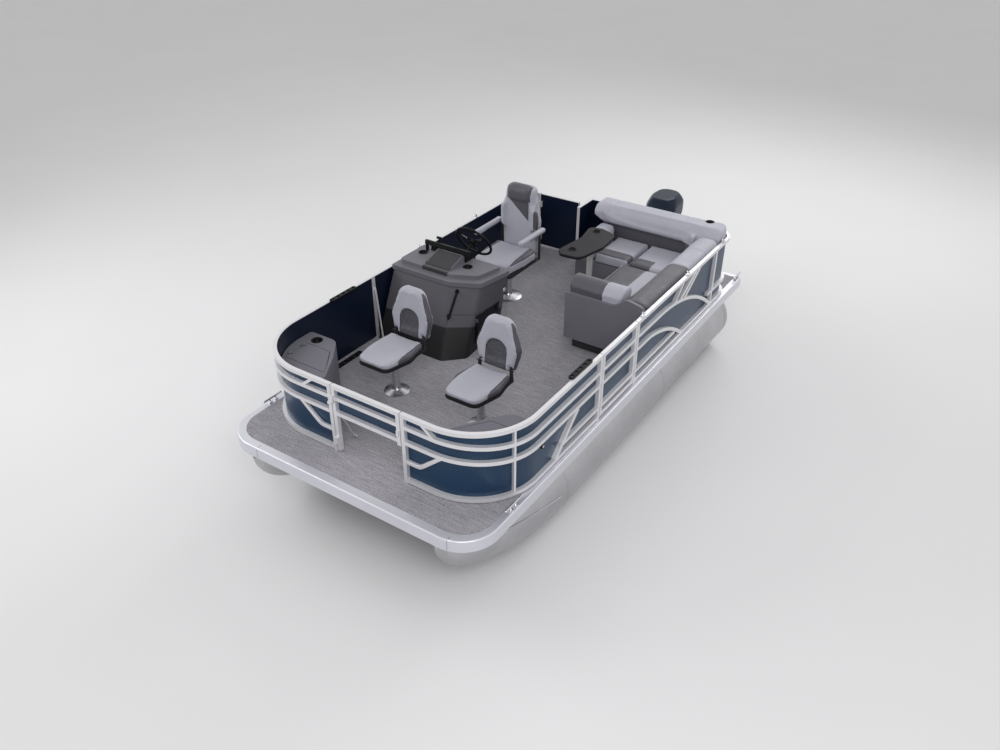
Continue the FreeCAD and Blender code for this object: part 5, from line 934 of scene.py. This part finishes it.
def make_bolsters():
    pad("port_bolster_pad", ["lounge_port_bolster"], "hull",
        [(DARK, lambda p: p[:, 1] < PORT_TONE_SPLIT), LIGHT],
        [seam(plane(1, PORT_TONE_SPLIT), anywhere, depth=7, width=6, pipe=1.6),
         seam(plane(1, PORT_REAR_SEAM), anywhere, depth=8, width=6)], voxel=12)

    def over_seat(p):
        return p[:, 2] > STERN_SEAMS_LOW

    def under_roll(p):
        return (p[:, 0] < ROLL_FRONT[0]) & (p[:, 1] < ROLL_FRONT[1])

    pad("stern_bolster_pad", ["lounge_stern_bolster"], "hull",
        [(DARK, lambda p: (p[:, 2] < ROLL_LOW) & under_roll(p)), LIGHT],
        [seam(plane(0, x), over_seat, depth=8, width=6) for x in STERN_SEAMS]
        + [seam(plane(2, ROLL_LOW), under_roll, depth=4, width=6)], voxel=12)

    def in_arm(p):
        return p[:, 1] < ARM_FRONT

    pad("lounge_arm_pads", ["lounge_arms"], "hull",
        [(DARK, lambda p: in_arm(p) & (p[:, 0] < ARM_TONE_SPLIT)), LIGHT],
        [seam(plane(0, ARM_TONE_SPLIT), in_arm, depth=5, width=6)], voxel=11)


# The low corner of a node's box, in (x, station, height).
def low_corner(node):
    return to_mm(np.array(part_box(node)[0]))


def make_lounge_seats():
    def seat(name, node, body, in_band, seams):
        pad(name, [node], body, [(DARK, lambda p: in_band(p) & (p[:, 2] > SEAT_TONE_LOW)), LIGHT],
            [seam(field, region, depth=4, width=5) for field, region in seams], voxel=11, rise=SEAT_RISE)

    def on_top(p):
        return p[:, 2] > SEAT_SEAM_LOW

    inner = low_corner("lounge_port_seat")[0] + BAND_START
    seat("port_seat_pad", "lounge_port_seat", "lounge_port_seat",
         lambda p: (p[:, 0] > inner) & (p[:, 0] < BAND_OUTER),
         [(plane(0, inner), on_top), (plane(0, BAND_OUTER), on_top)])

    corner = low_corner("lounge_corner_seat")[1] + BAND_CORNER
    seat("corner_seat_pad", "lounge_corner_seat", "hull",
         lambda p: (p[:, 0] < BAND_OUTER) & (p[:, 1] < corner),
         [(plane(0, BAND_OUTER), lambda p: on_top(p) & (p[:, 1] < corner + BAND_PAST)),
          (plane(1, corner), lambda p: on_top(p) & (p[:, 0] < BAND_OUTER + BAND_PAST))])

    front = low_corner("lounge_stern_seat")[1] + BAND_START
    seat("stern_seat_pad", "lounge_stern_seat", "hull",
         lambda p: (p[:, 1] > front) & (p[:, 1] < front + BAND_STERN),
         [(plane(1, front), on_top), (plane(1, front + BAND_STERN), on_top)])


# Small hard pieces

UP = (0, 0, 1)
DOWN = (0, 0, -1)
AFT = (0, 1, 0)
TO_STARBOARD = (-1, 0, 0)

# Slots with their materials.
BLACK = ("black_plastic", MAT["black"])
SEAM = ("black_plastic", MAT["seam"])
BRIGHT = ("chrome_fittings", MAT["steel"])
LENS = ("chrome_fittings", MAT["lens"])


# A round piece on the hull from its profile of (radius, height), about an axis through a place.
def turned(name, profile, place, axis, slot, mat, sides=32):
    bm = bmesh.new()
    axis = Vector(axis).normalized()
    first = axis.orthogonal().normalized()
    second = axis.cross(first)
    rings = []
    for radius, height in profile:
        ring = []
        for i in range(sides):
            angle = math.tau * i / sides
            way = first * math.cos(angle) + second * math.sin(angle)
            ring.append(bm.verts.new(place + way * (radius / 1000) + axis * (height / 1000)))
        rings.append(ring)
    for low, high in zip(rings, rings[1:]):
        for i in range(sides):
            j = (i + 1) % sides
            face = bm.faces.new((low[i], low[j], high[j], high[i]))
            face.smooth = True
    bm.faces.new(list(reversed(rings[0])))
    bm.faces.new(rings[-1])
    bmesh.ops.recalc_face_normals(bm, faces=bm.faces)
    return new_object(name, mesh_from(name, bm), "hull", slot, mat)


TREES = {}


def keep_tree(name, mesh):
    bm = bmesh.new()
    bm.from_mesh(mesh)
    TREES[name] = BVHTree.FromBMesh(bm)
    bm.free()


# Where a line from a place meets a node, and the way that the surface faces there.
def meet(node, place, way):
    if node not in TREES:
        keep_tree(node, nodes[node].data)
    spot, normal = TREES[node].ray_cast(place, Vector(way))[:2]
    if spot is not None and normal.dot(Vector(way)) > 0:
        normal = -normal
    return spot, normal


# How much of its radius a line laid on a surface is raised by.
LINE_RAISE = 0.15


# A thin line laid on a node of the hull, from places that look along a way.
def line_on(name, node, places, way, radius, slot, mat, closed=False):
    run = []
    for place in places:
        spot, normal = meet(node, at(*place), way)
        if spot is not None:
            run.append(spot + normal * (radius * LINE_RAISE / 1000))
    return tube(name, [(run, closed)], radius, "hull", slot, mat)


def between(first, last, count):
    return [tuple(a + (b - a) * i / (count - 1) for a, b in zip(first, last)) for i in range(count)]


# Profiles of (radius, height) for the cup liners, the round light, the latch and the side lamps.
CUP_LINER = [(0.5, -50), (36.5, -50), (37.2, -4), (37.2, 0.4), (44, 0.4), (46, 1.6), (45, 3.4), (40, 3.4),
             (36, 1.8), (34.5, -2), (33, -46), (0.5, -47)]
LIGHT_RING = [(24, -2), (24, 3), (21, 5.5), (18, 4.5), (0.5, 4.5), (0.5, -2)]
LIGHT_GLASS = [(0.5, 7), (9, 6.4), (15.5, 5), (17.4, 4.2), (17.4, 2), (0.5, 2)]
LATCH = [(15, -2), (15, 3), (13, 4.5), (11, 3.2), (4, 3.2), (4, 6), (0.5, 6), (0.5, -2)]
LAMP_RING = [(21, -1), (21, 8), (17, 12), (14, 11), (0.5, 11), (0.5, -1)]
LAMP_GLASS = [(0.5, 15), (8, 14), (12, 12), (13.4, 10.5), (0.5, 10.5)]

# Each cup liner's place, and the factors for its radius and its depth.
LINERS = {
    "helm_cup_liner_0": ((-481, 2340, 683), 1.0, 1.0),
    "helm_cup_liner_1": ((-1002, 2362, 683), 1.0, 1.0),
    "table_cup_liner_0": ((70, 3258, 645), 0.94, 0.3),
    "table_cup_liner_1": ((65, 3745, 645), 0.94, 0.3),
    "corner_cup_liner": ((947, 4443, 703), 1.0, 1.0),
    "livewell_cup_liner": ((-1000, 925, 450), 1.08, 1.2),
}
LINER_SIDES = 40


def make_cup_liners():
    for name, (place, wide, deep) in LINERS.items():
        profile = [(radius * wide, height * deep if height < 0 else height) for radius, height in CUP_LINER]
        turned(name, profile, at(*place), UP, *BLACK, LINER_SIDES)


# The console's side: places beside it that look at its light and its latch. Its seam runs from
# the first station to the second in steps, highest at its middle, with a droop on either side.
CONSOLE_LIGHT = (300, 2525, 449)
CONSOLE_LATCH = (300, 2449, 302)
SIDE_SEAM_X = 300
SIDE_SEAM_TOP = 371
SIDE_SEAM_RUN = (1900, 2480, 16)
SIDE_SEAM_MIDDLE = 1990
SIDE_SEAM_FRONT_DROOP = 0.02
SIDE_SEAM_REAR = 480
SIDE_SEAM_REAR_DROOP = 27
SIDE_SEAM_RADIUS = 1.6

# The stitched outline of the instrument pod in (x, station), seen from above the console.
POD_OUTLINE = [(-838, 2170), (-838, 2388), (-568, 2388), (-568, 2170)]
POD_ABOVE = 900
POD_STEPS = 12
THREAD_RADIUS = 1.3


def side_seam_height(station):
    past = station - SIDE_SEAM_MIDDLE
    if past > 0:
        return SIDE_SEAM_TOP - SIDE_SEAM_REAR_DROOP * (past / SIDE_SEAM_REAR) ** 2
    return SIDE_SEAM_TOP - SIDE_SEAM_FRONT_DROOP * past ** 2


def make_console_details():
    spot, normal = meet("console_shell", at(*CONSOLE_LIGHT), TO_STARBOARD)
    turned("courtesy_light_ring", LIGHT_RING, spot, normal, *BRIGHT)
    turned("courtesy_light_lens", LIGHT_GLASS, spot, normal, *LENS)
    spot, normal = meet("console_shell", at(*CONSOLE_LATCH), TO_STARBOARD)
    turned("console_latch", LATCH, spot, normal, *BLACK)
    along = [(SIDE_SEAM_X, station, side_seam_height(station)) for station in range(*SIDE_SEAM_RUN)]
    line_on("console_side_seam", "console_shell", along, TO_STARBOARD, SIDE_SEAM_RADIUS, *SEAM)
    outline = []
    for first, last in zip(POD_OUTLINE, POD_OUTLINE[1:] + POD_OUTLINE[:1]):
        outline += [(x, station, POD_ABOVE) for x, station in between(first, last, POD_STEPS)[:-1]]
    line_on("pod_stitching", "console_top", outline, DOWN, THREAD_RADIUS, "vinyl_light", MAT["thread"],
            closed=True)


# The wheel's middle and the tilt of its axis, the angles of its spokes, where along them the
# inlays' points lie and how far under that middle, both in metres, and the inlays' own radius.
WHEEL_MIDDLE = (-600, 2608, 800)
WHEEL_TILT = 30
SPOKES = (90, 210, 330)
INLAY_POINTS = (0.068, 0.09, 0.11, 0.13)
INLAY_DEPTH = 0.006
INLAY_RADIUS = 3.6


# Bright inlays in the wheel's spokes, on the wheel's own axis.
def make_wheel_inlays():
    tilt = math.radians(WHEEL_TILT)
    axis = Vector((0, math.cos(tilt), math.sin(tilt)))
    middle = at(*WHEEL_MIDDLE)
    side = Vector((1, 0, 0))
    up = axis.cross(side)
    runs = []
    for angle in SPOKES:
        way = side * math.cos(math.radians(angle)) + up * math.sin(math.radians(angle))
        runs.append(([middle + way * far - axis * INLAY_DEPTH for far in INLAY_POINTS], False))
    tube("wheel_inlays", runs, INLAY_RADIUS, "steering_wheel", *BRIGHT, FINE_ROUNDNESS)


# The low braces beside the bow gate: level from the gate's post to a bend, then up to the third
# rail. The outline is of (across, height) from the post, out along the lower edge and back along
# the upper one.
BRACE_OUTLINE = [(30, 176), (119, 176), (151, 180), (183, 200), (354, 352),
                 (310, 352), (161, 224), (135, 210), (109, 208), (30, 208)]
BRACE_STATIONS = (328, 356)
BRACE_BEVEL = 5
BRACE_SEGMENTS = 3
SHARPEST_UNBEVELLED = 50
GATE_POSTS = {"port": 374, "starboard": -281}


# Flat bars with rounded edges, in the plane of the fence's front.
def make_bow_braces():
    front, rear = BRACE_STATIONS
    for side, sign in SIDES:
        bm = bmesh.new()
        outline = [at(GATE_POSTS[side] + sign * across, front, height) for across, height in BRACE_OUTLINE]
        face = bm.faces.new([bm.verts.new(place) for place in outline])
        moved = bmesh.ops.extrude_face_region(bm, geom=[face])["geom"]
        for item in moved:
            if isinstance(item, bmesh.types.BMVert):
                item.co.y += (rear - front) / 1000
        bmesh.ops.recalc_face_normals(bm, faces=bm.faces)
        name = "bow_brace_" + side
        mesh = mesh_from(name, bm)
        obj = new_object(name, mesh, "hull", "fence_rail", MAT["rail"])
        bevel = obj.modifiers.new("edges", "BEVEL")
        bevel.width = BRACE_BEVEL / 1000
        bevel.segments = BRACE_SEGMENTS
        bevel.angle_limit = math.radians(SHARPEST_UNBEVELLED)
        shade_smooth(mesh)
        obj.modifiers.new("shading", "WEIGHTED_NORMAL")


# The cowl: its voxels, the rounds that soften it, the metres that it swells by, how high its
# parting line runs as a part of its height, and that line's points, its rise in metres and its
# radius.
COWL_VOXEL = 8
COWL_ROUNDS = 30
COWL_SWELL = 0.004
COWL_SPLIT = 0.3
PARTING_POINTS = 40
PARTING_RISE = 0.0004
PARTING_RADIUS = 2.2


# The cowl as one rounded shell over the hull of its node, with a parting line round it.
def make_cowl():
    bm = bmesh.new()
    bm.from_mesh(nodes["motor_cowl"].data)
    bmesh.ops.delete(bm, geom=bm.faces[:] + bm.edges[:], context="EDGES_FACES")
    bmesh.ops.convex_hull(bm, input=bm.verts)
    loose = [vert for vert in bm.verts if not vert.link_faces]
    bmesh.ops.delete(bm, geom=loose, context="VERTS")
    mesh = voxel_skin(bm, COWL_VOXEL)
    relax(mesh, COWL_ROUNDS)
    set_points(mesh, points_of(mesh) + normals_of(mesh) * COWL_SWELL)
    shade_smooth(mesh)
    cowl = new_object("cowl_shell", mesh, "motor", "motor_black", MAT["motor"])
    hold_in(mesh, ["motor_cowl"])
    subdivide(cowl)
    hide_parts("motor_cowl")
    keep_tree("cowl_shell", mesh)
    low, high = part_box("motor_cowl")
    middle = (low + high) / 2
    middle.z = low.z + (high.z - low.z) * COWL_SPLIT
    run = []
    for i in range(PARTING_POINTS):
        angle = math.tau * i / PARTING_POINTS
        way = Vector((math.cos(angle), math.sin(angle), 0))
        spot, normal = meet("cowl_shell", middle + way, -way)
        run.append(spot + normal * PARTING_RISE)
    tube("cowl_parting", [(run, True)], PARTING_RADIUS, "motor", *SEAM)


# The bow trim's seams: their x, the stations where they are found from above, and the heights
# where they are found from in front.
TRIM_JOINTS = (-823, 992)
TRIM_ABOVE = 200
TRIM_STATIONS = (50, 36, 22, 12)
TRIM_AHEAD = -300
TRIM_HEIGHTS = (-12, -30, -60, -90, -115)
TRIM_JOINT_RADIUS = 1.2

# Outside the boat, where the lines that look for the spray strakes and side lamps start.
OUTSIDE = 1600
STRAKE_FRONT = (580, -278)
STRAKE_REAR = (1212, -394)
STRAKE_POINTS = 24
STRAKE_RADIUS = 8
SIDE_LAMP = (967, 251)


# Seams between the lengths of the bow trim, spray strakes on the tubes' noses, and small lamps
# on the fence's corners.
def make_trim_details():
    for number, x in enumerate(TRIM_JOINTS):
        run = [meet("deck_trim", at(x, station, TRIM_ABOVE), DOWN)[0] for station in TRIM_STATIONS]
        run += [meet("deck_trim", at(x, TRIM_AHEAD, height), AFT)[0] for height in TRIM_HEIGHTS]
        run = [spot for spot in run if spot is not None]
        tube("trim_joint_%d" % number, [(run, False)], TRIM_JOINT_RADIUS, "hull", *SEAM)
    for side, sign in SIDES:
        inward = (-sign, 0, 0)
        strake = between((sign * OUTSIDE, *STRAKE_FRONT), (sign * OUTSIDE, *STRAKE_REAR), STRAKE_POINTS)
        line_on("spray_strake_" + side, "pontoon_" + side, strake, inward, STRAKE_RADIUS,
                "tube_aluminium", MAT["tube"])
        spot, normal = meet("fence_panels", at(sign * OUTSIDE, *SIDE_LAMP), inward)
        turned("side_lamp_" + side, LAMP_RING, spot, normal, *BLACK)
        turned("side_lamp_lens_" + side, LAMP_GLASS, spot, normal, *LENS)


for side, sign in SIDES:
    make_fishing_chair(side, sign * CHAIR_X)
make_helm_chair()
make_bolsters()
make_lounge_seats()
puff(PADS)
for piece in PADS:
    finish_pad(piece)
make_cup_liners()
make_console_details()
make_wheel_inlays()
make_trim_details()
make_bow_braces()
make_cowl()

make_camera()
make_lamps()
make_world()
make_floor()
scene.view_settings.view_transform = "Standard"
